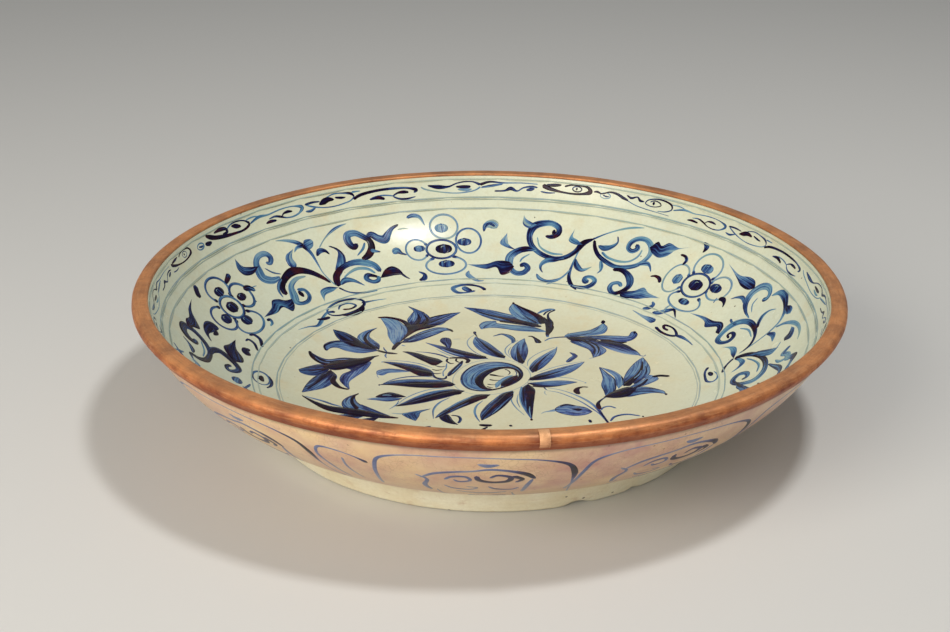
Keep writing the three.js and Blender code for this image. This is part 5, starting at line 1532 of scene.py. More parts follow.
def scroll_at_158(brush):
    line, leaf = brush.stroke, brush.leaf
    line([(156, 35.4, 1.4, 0.8), (158, 31.6, 3.6, 1), (159.2, 25.4, 3.0, 0.9), (161, 20.6, 3.0, 0.75),
          (163.4, 18.4, 3.0, 0.75), (166.2, 19.4, 3.0, 0.8), (168.8, 23, 3.0, 0.6), (170.4, 28, 3.2, 0.75),
          (170.8, 34, 3.6, 0.7), (170, 39.4, 4.4, 0.8), (168, 41.8, 3.8, 0.5), (166, 42, 3.4, 0.35),
          (164.4, 39.4, 3.4, 0.7), (164.4, 35.6, 3.2, 0.95), (165.8, 33.2, 2.8, 1),
          (167.2, 33.4, 1.4, 0.9)], layer=2)
    brush.dot((165.4, 36.4), 2.2, 1.0)
    line([(169, 32.4, 0.7), (168, 25.8, 1.1), (165, 21.8, 1.6), (162, 22, 0.8)], 0.2, 2)
    leaf((169.4, 40.6), [(171, 42.4), (172, 44)], [(171, 37.6), (172.6, 40)], (172.6, 46.4), 0.6,
         (0.5, 0.3, 0.6), 0.2, 2)
    brush.dot((170.2, 45.2), 0.6, 1.0)
    line([(168.6, 23, 1.4, 0.2), (171, 23.4, 3.6, 1), (173, 21.8, 4.0, 0.7), (174.8, 17.4, 4.6, 0.4),
          (175, 12.6, 4.2, 0.45), (174.2, 7.4, 3.4, 0.5), (172.6, 5, 3.4, 0.5), (170.8, 6, 3.4, 0.55),
          (170, 9.6, 3.2, 0.5), (171.2, 12.2, 2.8, 0.6), (172, 10, 2.6, 0.9)], layer=2)
    line([(170, 20.2, 0.7), (171.8, 16.4, 1.2), (172.3, 13.4, 0.7)], 0.3, 3)
    leaf((173.6, 22.4), [(175.4, 26), (175.8, 29.4)], [(175.6, 23.4), (177.6, 26.6)], (176, 34), 0.75,
         (0.35, 0.3, 0.5), 0.2, 2)
    leaf((173.6, 10), [(175, 13.6), (178, 14), (181, 11.4)],
         [(174.6, 5), (176.8, 3), (178.2, 8.8), (180.8, 7.4)], (186, 11.2), 1.0, (0.75, 0.8, 1.0), 0.35, 3)
    line([(181.4, 34.4, 0.9, 0.8), (181, 38.4, 3.0, 0.4), (179.4, 39.6, 5.6, 0.25), (178.4, 37, 4.0, 0.2)],
         layer=2)
    line([(181.2, 37, 1.0), (180.2, 40, 1.6), (178.8, 38, 1.4)], 0.8, 3)
    line([(185.4, 6.4, 0.6), (185.8, 3.4, 2.8), (184.6, 0.4, 2.4), (183, -1.8, 1.4), (181.4, -1.6, 0.6)],
         0.4, 2)
    leaf((158, 30.4), [(159.6, 33.4), (160.8, 35)], [(159.8, 29.8), (161.6, 32)], (160.8, 40.4), 0.7,
         (0.3, 0.3, 0.6), 0.2, 2)
    line([(161.4, 19.6, 1.0, 0.6), (163.6, 17.4, 2.8, 0.7), (165.6, 16.2, 3.2, 0.4),
          (166.8, 12.6, 2.0, 0.4), (166.6, 9.4, 1.2, 0.7), (165.8, 7, 0.6, 0.7)], layer=2)
    line([(167.4, 5.8, 1.0, 0.7), (166.4, 2.6, 2.2, 0.5), (164.4, 1, 1.8, 0.6), (162.2, 1.8, 2.2, 0.4),
          (160.6, 4.6, 1.4, 0.4), (159.6, 8.4, 1.2, 0.4), (159, 12, 0.7, 0.2)], layer=2)
    line([(164, -1.6, 0.6), (162.4, 0, 1.2)], 0.3, 2)
    line([(158.4, 29, 1.4, 0.7), (158.7, 22, 1.0, 0.3), (158.9, 15.6, 1.4, 0.4), (158.7, 7, 2.0, 0.75),
          (157.4, 1.4, 2.4, 0.85), (155, -2.6, 1.0, 0.8)], layer=2)
    line([(158.7, 20.4, 0.9, 0.8), (157.6, 15, 3.4, 0.6), (156, 12.8, 2.4, 0.5), (153.8, 16.4, 0.5, 0.2)],
         layer=2)
    line([(157.6, 0.4, 1.2, 0.7), (155, -0.2, 2.4, 0.7), (153, 0.6, 2.8, 0.65), (151.6, 3.6, 3.0, 0.75),
          (151.4, 7, 2.6, 0.45), (152.8, 9, 2.4, 0.35), (154.2, 8, 2.4, 0.5), (154, 5.6, 3.4, 0.6),
          (152.8, 4.4, 3.6, 0.75)], layer=2)
    line([(156.4, 34.6, 1.4, 0.95), (155.2, 37, 1.2, 0.5), (153, 41, 0.9, 0.3), (150, 45.2, 1.3, 0.2),
          (147.6, 47.4, 1.3, 0.15), (145.4, 48.6, 0.5, 0.05)], layer=2)
    line([(155.7, 34.8, 1.6, 1), (155, 30, 2.2, 0.9), (153.6, 25.4, 2.4, 0.85), (151, 21.8, 2.8, 0.7),
          (148, 19.8, 2.8, 0.6), (145.2, 21.2, 3.0, 0.6), (143, 24.6, 2.8, 0.5), (141.8, 29.6, 2.6, 0.35),
          (141.5, 34, 3.0, 0.2), (142.2, 38.6, 3.4, 0.25), (144, 41.6, 3.0, 0.35), (146, 40.8, 3.0, 0.45),
          (147.2, 37.4, 3.0, 0.55), (147.2, 33.8, 2.6, 0.6), (146, 32.4, 2.8, 0.6), (145, 35, 2.8, 0.6),
          (145.8, 37.4, 2.4, 0.8)], layer=2)
    line([(153, 27.8, 1.6, 0.5), (151.2, 25, 1.6, 0.25), (148, 23.8, 1.6, 0.2), (145.4, 25.6, 1.3, 0.15),
          (144, 30.2, 1.3, 0.12), (143.8, 35, 1.0, 0.1)], layer=2)
    line([(152.4, 22, 1.4), (151.6, 18, 2.4), (151.3, 15, 1.4), (151.8, 12.4, 0.6)], 0.35, 2)
    line([(154.4, 31.6, 1.2), (152.8, 30.6, 3.6), (151.2, 32.4, 2.6), (150.2, 36, 1.2), (150.7, 40, 0.9)],
         0.6, 2)
    line([(143, 24.6, 1.4), (141, 27, 2.8), (140, 26, 1.6), (138.8, 22.4, 0.7)], 0.5, 2)
    line([(148.4, 17.4, 2.2, 1), (146.4, 18.4, 2.8, 1), (144.4, 17, 3.4, 0.8), (142.6, 13.4, 4.2, 0.6),
          (141.8, 9, 3.4, 0.7), (142.6, 4, 3.0, 1), (144.6, 1, 2.8, 0.7), (146.4, 4, 2.8, 0.6),
          (146.4, 7.6, 2.6, 0.5), (144.8, 9.2, 2.4, 0.5), (143.6, 7, 2.2, 0.4)], layer=2)
    leaf((143.4, 3.6), [(141, 5.6), (139.4, 7.4), (137.8, 11.2), (135.6, 8.8)],
         [(141.4, -1), (139, 0.8), (137, 2), (135, 4.6)], (131.4, 8), 1.0, (0.5, 0.45, 0.95), 0.2, 3)
    leaf((142.4, 37.4), [(141, 42.6), (139.8, 40.6), (138.4, 43.6), (135.6, 42.4)],
         [(141.4, 34.6), (139.2, 32.6), (137.4, 35), (136, 40.4)], (133.2, 44.8), 1.0, (0.9, 0.5, 0.6),
         0.15, 3)


def scroll_at_223(brush):
    line, leaf = brush.stroke, brush.leaf
    line([(223, 12.6, 1.4), (224.2, 17.8, 2.8), (226.2, 23.4, 3.6), (228.6, 26.8, 4.4), (230.6, 27.6, 5.0),
          (233.4, 25.6, 4.0), (236, 21.4, 3.6), (237, 15.6, 3.6)], 1.0, 3)
    line([(228, 22, 1.0, 0.2), (231, 22.4, 2.4, 0.25), (233.6, 19.4, 3.2, 0.3), (235, 13.6, 4.8, 0.3),
          (236, 9, 4.4, 0.35), (235.2, 6.8, 2.8, 0.6), (232.8, 6.4, 2.4, 0.6), (231.2, 9.4, 2.4, 0.55),
          (231.2, 14, 2.4, 0.5), (233, 15.8, 2.2, 0.6)], layer=2)
    brush.dot((232.9, 12.4), 2.9, 1.0)
    leaf((236.4, 12), [(238.6, 13.2), (239.8, 15.6), (241.8, 16.8), (244, 13.2)],
         [(237.4, 7.4), (239.6, 4.6), (240.8, 9.6), (244, 8.6)], (248.8, 10.8), 1.0, (0.8, 0.55, 0.95), 0.7,
         4)
    line([(238.3, 15, 0.8), (237.8, 19.6, 1.6), (236.4, 23.4, 1.8), (234.4, 26.2, 1.2)], 0.55, 4)
    line([(234.4, 27.4, 1.4, 0.5), (237, 27.4, 4.4, 0.4), (238.8, 31, 5.6, 0.35), (238.4, 36.4, 5.0, 0.4),
          (237.6, 41, 3.6, 0.4), (236, 43.8, 3.2, 0.35), (234, 43.4, 3.4, 0.45), (233.4, 40.4, 3.4, 0.6),
          (234.4, 37.4, 2.6, 0.45), (235.4, 38.6, 1.6, 0.6)], layer=2)
    line([(236.6, 36, 0.8), (235.4, 31.6, 1.2), (233.6, 28.6, 0.7)], 0.65, 3)
    leaf((237.6, 38.4), [(240, 40.4), (241.6, 42.6)], [(240.4, 35.6), (242.8, 37.2), (243.4, 42)],
         (242.2, 48.4), 1.0, (0.8, 0.7, 1.0), 0.5, 3)
    leaf((229.4, 27.4), [(230.4, 32.6), (229.6, 38)], [(228.2, 31), (228.2, 35.6)], (226.8, 40.6), 0.9,
         (0.75, 0.3, 0.4), 0.3, 1)
    line([(222.3, 10, 1.0, 0.4), (223.2, 20.2, 0.8, 0.12), (223.1, 27.5, 1.3, 0.3),
          (223.2, 35.4, 2.2, 0.45), (224.2, 41, 2.8, 0.95), (225.6, 44.4, 2.4, 0.5), (228, 47.2, 1.4, 0.25),
          (230, 48.6, 0.5, 0.1)], layer=2)
    leaf((224.2, 40), [(223.2, 43.8), (221.6, 43.4)], [(223, 37.4), (221.8, 38.6)], (221.2, 41.6), 1.0,
         (0.7, 0.5, 0.5), 0.3, 3)
    line([(227, 38.4, 0.6, 0.2), (225.8, 40.6, 1.8, 0.35), (224, 41, 2.6, 1)], layer=3)
    line([(222.2, 32, 1.2, 0.8), (220.8, 34.8, 3.2, 0.5), (219.6, 34, 2.2, 0.7), (218.9, 31, 0.9, 0.9)],
         layer=2)
    line([(220.6, 36.6, 0.8, 0.3), (218.1, 41.8, 0.9, 0.3), (214.9, 46.3, 1.7, 0.45),
          (212, 47.9, 0.6, 0.15)], layer=2)
    leaf((221.2, 12), [(219.8, 20), (218, 26), (216.8, 31.6)],
         [(218.4, 17), (216.4, 22), (215.6, 28.6), (216.4, 33)], (218.2, 36.4), (1, 0.9, 0.6),
         (0.7, 0.4, 0.6), 0.8, 2)
    line([(216.6, 21.4, 1.2), (215.8, 28, 1.4), (216.5, 33, 1.2), (218.2, 36.4, 1.0)], 0.85, 4)
    line([(221.8, 8.6, 3.4, 1), (220.7, 15, 4.0, 1), (219, 18.8, 3.4, 1), (216.7, 21.2, 3.2, 0.8),
          (214.1, 22, 3.8, 0.6), (211.6, 20.6, 4.6, 0.4), (209.4, 17, 4.0, 0.5), (208.6, 12, 2.6, 0.7)],
         layer=3)
    line([(219, 13.2, 0.9), (216.7, 15.8, 1.4), (214.1, 17.4, 2.0), (211.6, 15.8, 2.0), (210.1, 11.6, 1.4)],
         0.22, 2)
    line([(209.6, 9.4, 2.0, 0.3), (210.4, 6.2, 2.6, 0.6), (212, 6, 2.8, 0.6), (213.2, 9, 3.2, 0.6),
          (212.4, 11.4, 3.0, 0.7), (211, 10.2, 2.2, 1), (209.8, 8.4, 1.6, 1)], layer=3)
    leaf((209.6, 7.4), [(207.2, 13.2), (205.2, 14.8), (203.6, 12)],
         [(207.6, 7.4), (205.2, 7.6), (203.4, 7)], (202.6, 4.8), 1.0, (1.0, 0.95, 0.9), 0.9, 4)
    line([(203.4, 8, 1.8), (202.6, 5.4, 1.3), (201.7, 3.4, 0.7)], 0.7, 3)
    line([(211.8, 22.6, 2.4, 1), (209.6, 25.2, 4.0, 1), (208.2, 30, 4.0, 1), (208.2, 34.6, 3.6, 1),
          (209.4, 38, 3.6, 0.6), (211, 41, 3.8, 0.4), (212.8, 40.4, 4.2, 0.5), (213.2, 36, 4.4, 0.6),
          (212.4, 32, 3.6, 0.9), (211.2, 34, 2.4, 0.8)], layer=3)
    line([(209.4, 33.8, 1.2), (210.4, 30, 1.5), (212.5, 26, 0.8)], 0.35, 2)
    line([(208.6, 36.4, 2.0, 0.9), (207.4, 38.2, 3.8, 0.7), (206, 35.2, 4.4, 0.5), (204.6, 33.8, 5.2, 0.6),
          (203.4, 37, 3.6, 0.5), (202.2, 40.2, 2.2, 0.6), (200.5, 42.4, 1.2, 0.95)], layer=2)
    line([(208.8, 28, 3.0, 0.5), (207.8, 27, 2.0, 0.4), (206.5, 25.8, 0.8, 0.95)], layer=4)
    leaf((222, 8.2), [(224.6, 10.8), (227.4, 9.6)], [(224, 6.6), (227, 5.6)], (228.7, 1.6), (0.9, 0.8, 0.5),
         (0.6, 0.5, 0.3), 0.15, 2)
    line([(221, 9.4, 1.4), (218.8, 11.6, 3.6), (217, 10.2, 2.6), (215.6, 7, 1.4), (214.7, 4.6, 0.7)], 0.6,
         2)
    line([(222, 8, 1.4, 0.8), (220.4, 3.4, 1.2, 0.5), (218.4, 0.8, 1.4, 0.6), (216, -0.4, 1.4, 0.7),
          (212, -1, 1.0, 0.4)], layer=2)


def scroll_at_282(brush):
    line, leaf = brush.stroke, brush.leaf
    line([(285.4, 35, 0.9, 0.5), (283, 35.8, 2.6, 0.9), (282.8, 31, 3.4, 0.95), (281.4, 26.4, 3.6, 1),
          (279, 24.4, 3.2, 0.95), (276.6, 24, 3.0, 0.9), (274.2, 26.4, 3.2, 0.8), (272.6, 31, 3.4, 0.75),
          (272, 36.6, 3.8, 0.8), (273, 41.8, 4.8, 0.9), (275, 41.2, 4.8, 0.9), (276.4, 37, 4.0, 0.95),
          (276.2, 33, 3.4, 0.9), (275, 34, 3.4, 0.7)], layer=2)
    line([(280.5, 28, 0.9), (277.2, 27.4, 1.3), (274, 30, 1.0)], 0.3, 3)
    line([(282, 34.6, 1.2), (280.2, 34.8, 3.2), (278.6, 37.4, 1.8), (277.8, 41, 0.8)], 0.75, 2)
    leaf((272.6, 36), [(271.6, 40.8), (270, 42.2), (268.6, 41), (266, 43.6)],
         [(271, 36.6), (269.6, 32.6), (267.8, 36), (266, 40.8)], (262.4, 45), 1.0, (1.0, 0.75, 0.95), 0.9,
         3)
    line([(277, 23.4, 1.6), (274.8, 22.8, 4.0), (273.2, 19.4, 4.6), (273.6, 14.6, 4.4), (275.4, 9, 3.8),
          (277.4, 7, 3.2), (279.4, 9.4, 3.0), (280.2, 13, 2.8), (278.6, 14, 2.4), (277, 11.4, 2.6)], 0.8, 2)
    leaf((274.4, 10), [(272.6, 14.4), (270, 17.8), (267.4, 15.4)],
         [(272.8, 5.2), (270.6, 5.6), (268, 10.6)], (264, 13.6), 1.0, (1.0, 0.85, 1.0), 0.85, 4)
    line([(282, 7.6, 2.4, 0.6), (283.6, 8.6, 5.6, 0.6), (285.6, 9.4, 3.6, 0.5)], layer=2)
    line([(287.4, 6.4, 0.8), (285, 3, 1.6), (283, 1, 1.0)], 0.55, 2)
    line([(285, 35, 1.0, 0.3), (286.6, 32.6, 3.0, 0.35), (288, 36, 1.2, 0.3)], layer=2)
    line([(289, 41, 1.0), (287, 44, 2.4), (284.6, 48, 1.0)], 0.5, 2)


def ring_band(brush):
    """The small curls between the two rings round the well."""
    line = brush.stroke
    line([(135.6, -6.6, 0.6, 0.2), (131, -8, 1.8, 0.3), (128, -8, 3.6, 0.5), (126.2, -8.2, 4.2, 0.75)])
    line([(124.4, -11, 1.8, 1), (121, -12.2, 1.6, 1), (117.4, -11.2, 1.6, 0.95), (115.8, -9, 1.8, 0.9),
          (117.6, -6.8, 1.4, 0.9), (120.4, -6, 1.2, 0.9), (122.6, -7.4, 1.8, 0.95), (121.6, -9, 1.6, 0.95),
          (119.6, -9, 1.4, 1)])
    line([(116, -9, 1.6, 0.7), (114.4, -8, 2.2, 0.7), (111, -7.2, 1.2, 0.5), (107.6, -7.2, 0.6, 0.6)])
    line([(181, -9.6, 2.4, 0.9), (182.4, -7, 1.6, 0.8), (185, -5.2, 1.6, 0.95), (188, -5, 1.8, 0.6),
          (190.6, -7.4, 2.6, 0.4), (189.6, -10.8, 2.2, 0.5), (187, -11.4, 1.2, 0.5), (184, -10, 1.6, 0.8)])
    line([(187.8, -6.4, 3.0, 0.5), (186.4, -9, 3.4, 0.7), (185, -10, 1.8, 1)])
    brush.ring((224.6, -6.8), (13.2, 5.2), (1.2, 1.8), 0.7, 1)
    line([(228.2, -11, 1.0), (226, -13.2, 1.8), (223, -13.6, 2.6), (220.4, -12, 2.6), (219.2, -9, 1.6)],
         1.0, 2)
    line([(226, -7.8, 1.4, 1), (223.4, -9.2, 1.2, 1), (221.2, -7.8, 1.4, 0.7), (222.6, -5, 1.2, 0.6),
          (225.6, -4.6, 1.2, 0.7), (227.2, -7, 1.0, 0.6)], layer=1)
    line([(219.2, -7.4, 1.6, 0.9), (215, -8, 1.0, 0.5), (211, -8.8, 0.6, 0.1)])
    line([(228.6, -7.4, 2.0, 0.95), (231, -6, 1.6, 0.5), (233.4, -7.6, 1.6, 0.5), (235.4, -9.6, 2.4, 0.5),
          (238, -11.2, 1.8, 0.5), (240.6, -9, 1.0, 0.4), (244.6, -7, 0.5, 0.15)])
    line([(236, -7.2, 1.0), (234, -9, 2.2), (231.6, -9.6, 1.8)], 1.0, 1)
    line([(93.6, -7.4, 2.0, 0.9), (91.6, -9.8, 1.4, 0.7), (88.6, -10.6, 1.4, 0.7), (85.6, -9.8, 1.6, 0.6),
          (84.6, -7, 1.4, 0.4), (85.6, -4.6, 1.3, 0.35), (87.6, -4, 1.0, 0.3), (90.4, -5.4, 0.6, 0.2)])
    line([(90.8, -8, 1.4), (89.4, -7.4, 2.6), (88, -7, 1.2)], 0.85)
    brush.ring((277.2, -5.4), (7.4, 4.8), (1.0, 1.6), 0.55, 1)
    line([(279, -6.4, 1.6), (277.4, -5.4, 3.2), (275.6, -5.8, 1.4)], 0.95, 1)
    line([(282.2, -8, 0.9), (280, -10.6, 1.6), (277, -11.2, 1.6), (274.4, -9.4, 1.0)], 0.8, 1)
    for at in (58, 26, 354, 318):
        brush.ring((at, -6.6), (7.6, 4.8), (1.0, 1.7), 0.6, 1)
        line([(at + 1.6, -7.4, 1.4), (at, -6.6, 2.8), (at - 1.6, -6.2, 1.2)], 0.95, 1)
        line([(at - 3.4, -7.4, 1.4, 0.7), (at - 7, -8.4, 1.2, 0.5), (at - 11, -7.4, 0.6, 0.2)])


def paint_wall_scrolls():
    wall = Brush("painted_wall_scrolls", "wall")
    wall.coarse = 1.3
    wall.press = 1.16
    # The last three, at the front, repeat groups that the photograph shows
    for scroll, turn, centre, squeeze in ((scroll_at_92, 0, 0, 1), (scroll_at_158, 0, 0, 1),
                                          (scroll_at_223, 0, 0, 1), (scroll_at_282, 0, 0, 1),
                                          (scroll_at_282, 0, 286.5, -0.62),
                                          (scroll_at_158, -125, 158, 0.84),
                                          (scroll_at_223, 114, 223, 0.84)):
        wall.turn = turn
        wall.centre = centre
        wall.squeeze = squeeze
        scroll(wall)
    wall.turn = 0
    wall.squeeze = 1
    ring_band(wall)
    wall.done(COBALT, "inner_glaze")


def rim_heavy_start(brush):
    """Where a run of the rim's scroll sets out with a full brush."""
    line = brush.stroke
    line([(247.8, 63, 1.6), (246.6, 62.4, 2.4), (245.6, 62.4, 1.0)], 0.9, 1)
    line([(246.8, 67, 1.4), (245.6, 65.2, 2.6), (244.2, 63.6, 2.4), (241.4, 61.9, 2.0), (238.6, 61, 1.5),
          (236.2, 60.8, 1.3), (234.6, 62, 1.5), (234, 63.4, 1.5)], 1.0, 2)
    line([(244.2, 66.2, 0.9), (242, 66.4, 2.2), (240.6, 65.4, 1.8), (240.4, 63.8, 1.7), (242, 63.2, 1.0)],
         1.0, 2)
    line([(240.4, 65, 0.8, 0.5), (239, 66.6, 0.9, 0.6), (237, 66.8, 0.9, 0.8), (235.2, 65.6, 1.0, 0.9),
          (234, 63, 1.8, 1)], layer=2)
    line([(239, 65.6, 0.9), (237.8, 64.6, 2.6), (236.4, 63.4, 1.2)], 1.0, 3)


def rim_light_start(brush):
    """Where a run sets out with a nearly dry brush: a wave, a zigzag and an open spiral."""
    line = brush.stroke
    line([(251.9, 64.6, 1.0), (251.2, 65.1, 1.7), (250.1, 64.3, 1.1), (248.5, 65.9, 1.4),
          (246.9, 65.5, 1.9), (245.4, 63.8, 2.2), (244.2, 62.7, 1.2)], 0.95, 2)
    line([(244.6, 62.9, 0.9), (242.6, 60.9, 0.8), (240.3, 59.9, 0.8), (237.1, 59.3, 0.7),
          (234.4, 58.9, 0.5)], 0.6)
    line([(244.8, 65.9, 1.1), (243.7, 64.6, 1.8), (242.4, 65.8, 1.2), (241.7, 64.1, 2.0),
          (240.7, 63.9, 0.9)], 0.9, 2)
    line([(239.5, 64.4, 1.0, 0.7), (238.6, 65.7, 1.0, 0.7), (237.3, 65.1, 1.1, 0.8),
          (236.9, 63.8, 1.0, 0.8), (237.9, 62.4, 0.9, 0.7), (239.3, 62.1, 0.9, 0.7),
          (240.4, 63.2, 1.0, 0.8), (240.1, 65.1, 1.1, 0.8), (238.3, 66.9, 1.2, 0.8), (236, 66.8, 1.4, 0.9),
          (234.5, 65.2, 1.6, 0.95), (234.3, 63, 1.2, 0.8), (235.5, 60.9, 1.0, 0.6),
          (237.5, 60.1, 0.6, 0.4)], layer=1)
    brush.dot((238.6, 64.1), 1.5, 1.0)


def rim_run(brush):
    """A quarter of the running scroll under the rim."""
    line = brush.stroke
    brush.ring((249.3, 63.4), (3.2, 1.7), (0.7, 1.0), 0.4, 1)
    line([(249.9, 63.6, 0.9), (249, 63, 1.2), (248.4, 63.2, 0.7)], 0.7, 1)
    line([(234.8, 65.6, 0.8), (232.8, 65.9, 0.9), (231, 65, 0.6)], 0.4)
    line([(234, 62.8, 1.0, 0.5), (231.4, 64.7, 1.6, 0.4), (229, 64.3, 1.0, 0.4), (225.6, 65.2, 0.9, 0.5),
          (222.4, 64.8, 0.9, 0.5), (220.7, 63, 2.2, 0.6), (221.6, 60.4, 1.2, 0.5), (223.2, 59.2, 1.0, 0.6),
          (225, 59.6, 0.9, 0.7), (226.2, 61, 1.4, 0.95), (227.6, 62.1, 1.2, 0.6), (229.2, 61.6, 0.6, 0.5)],
         layer=1)
    line([(225.9, 60.8, 0.8), (225.4, 62.2, 1.0), (224.2, 62.7, 1.7), (223.1, 62.2, 0.8)], 0.95, 2)
    line([(230.2, 59.7, 0.9), (229, 60.1, 1.8), (227.4, 59.7, 1.2)], 0.95, 2)
    line([(219.8, 63.8, 0.9, 0.4), (218.2, 61.8, 1.1, 0.5), (216, 60.1, 0.8, 0.4), (213.6, 59.5, 0.8, 0.5),
          (211.2, 60.2, 0.9, 0.4), (209.4, 61.6, 0.9, 0.5), (208.8, 63.4, 1.0, 0.8),
          (209.3, 65.2, 1.6, 0.9), (211.2, 66.4, 0.9, 0.6), (213.1, 66.8, 0.9, 0.5), (215, 65.4, 0.7, 0.4)],
         layer=1)
    line([(216.8, 62.2, 1.0), (215.6, 63.4, 3.2), (214.6, 64.2, 2.8), (213.2, 63.6, 1.2)], 1.0, 3)
    line([(213, 64.6, 1.0), (211.6, 63.8, 1.5), (210.6, 63.6, 0.7)], 0.8, 2)
    line([(220, 64, 1.3), (218.2, 64.4, 1.3), (216.4, 64, 0.8)], 0.85, 2)
    line([(220.2, 60.1, 0.9), (219, 59.7, 1.6), (217.6, 61.2, 0.9)], 0.5, 1)
    line([(209, 61.6, 1.6, 1), (207.6, 63.4, 1.8, 0.95), (204, 64.8, 1.6, 0.9), (200, 65, 1.5, 0.8),
          (197, 64.4, 1.3, 0.7), (195.4, 62.8, 2.0, 0.9), (196, 61.4, 0.8, 0.6)], layer=2)
    line([(209.2, 66, 1.3), (207.2, 66, 0.7)], 0.4, 1)
    line([(205.6, 60, 1.0, 0.6), (203.8, 60.6, 2.2, 0.95), (202.2, 59.2, 1.4, 0.95)], layer=2)
    line([(204, 61.6, 0.8), (202, 61.4, 1.0), (200.2, 60.4, 0.8)], 0.35, 1)
    line([(195.6, 58.9, 0.6, 0.5), (197.6, 58, 1.3, 0.9), (199.4, 58.6, 1.2, 0.7), (200.3, 60.4, 1.0, 0.6),
          (199.4, 62, 1.2, 0.9), (198.2, 62.3, 1.9, 1), (197, 61.9, 1.2, 1)], layer=2)
    line([(194.4, 64.4, 0.9), (193.6, 63, 1.0), (191.6, 61.4, 0.9), (188, 59.8, 0.8), (185.6, 59.9, 0.8),
          (183.2, 61.3, 0.9), (182, 63.4, 1.2)], 0.25, 1)
    line([(193, 65, 0.9), (190.8, 63.8, 2.4), (188.6, 63.8, 1.2), (187, 65.6, 0.9), (185.4, 66.5, 0.9),
          (183.6, 66.4, 0.9), (182, 64.6, 1.8)], 0.75, 2)
    line([(187.2, 63.6, 1.0), (185.4, 63.4, 2.0), (184, 63.5, 1.4)], 0.95, 3)
    line([(186.8, 62, 1.0), (185, 61.5, 1.7), (183.8, 62, 0.8)], 0.24, 2)
    line([(182.2, 64.6, 1.8, 0.95), (180.2, 66.4, 1.3, 0.8), (177.6, 65.9, 1.0, 0.5),
          (173.4, 66.2, 0.7, 0.25), (170.2, 66, 0.7, 0.3)], layer=1)
    line([(182, 62.9, 1.0), (179.8, 64, 1.5), (177.4, 65.2, 0.9)], 0.5, 1)
    line([(179.2, 60.8, 1.0, 0.8), (177, 61.2, 1.2, 0.8), (175.8, 62.6, 2.2, 0.85), (174.4, 61.2, 1.0, 0.6),
          (173.2, 63.3, 1.0, 0.5), (171.4, 64.3, 1.3, 0.6), (170.2, 63.9, 0.9, 0.6)], layer=1)
    line([(172.6, 62, 1.0), (171.6, 62.6, 1.9), (170.8, 63.2, 0.8)], 0.8, 2)
    line([(169.3, 65.6, 2.6), (167.8, 63.9, 2.2), (165.4, 62.5, 1.3), (162.8, 62, 1.2), (160.4, 62.8, 1.6),
          (159.2, 64.4, 2.6), (159.7, 66.6, 1.6), (161.6, 67.5, 1.1), (163.3, 67.2, 1.0),
          (164.7, 65.9, 1.2)], 1.0, 2)
    line([(168.6, 65.8, 1.3), (166.6, 66.2, 1.9), (165.3, 66.6, 0.9)], 1.0, 2)
    brush.ring((162, 65.1), (2.8, 1.6), 0.8, 0.75, 2)
    brush.dot((162.1, 65.2), 1.1, 1.0)
    line([(169.6, 61.7, 0.9), (168, 61.2, 1.0), (166.4, 61.6, 0.6)], 0.6, 1)


def paint_rim_scroll():
    wall = Brush("painted_rim_scroll", "wall")
    wall.centre = 251
    for turn, squeeze, press, paint_start in ((0, 1, 1.2, rim_heavy_start),
                                              (-93.4, 1, 0.9, rim_light_start),
                                              (-186.8, 1, 1.2, rim_heavy_start),
                                              (-280.2, 0.85, 0.85, rim_light_start)):
        wall.turn = turn
        wall.squeeze = squeeze
        wall.press = press
        paint_start(wall)
        rim_run(wall)
    wall.done(COBALT, "inner_glaze")


PANELS = 11
PANEL_PITCH = 31.86  # degrees


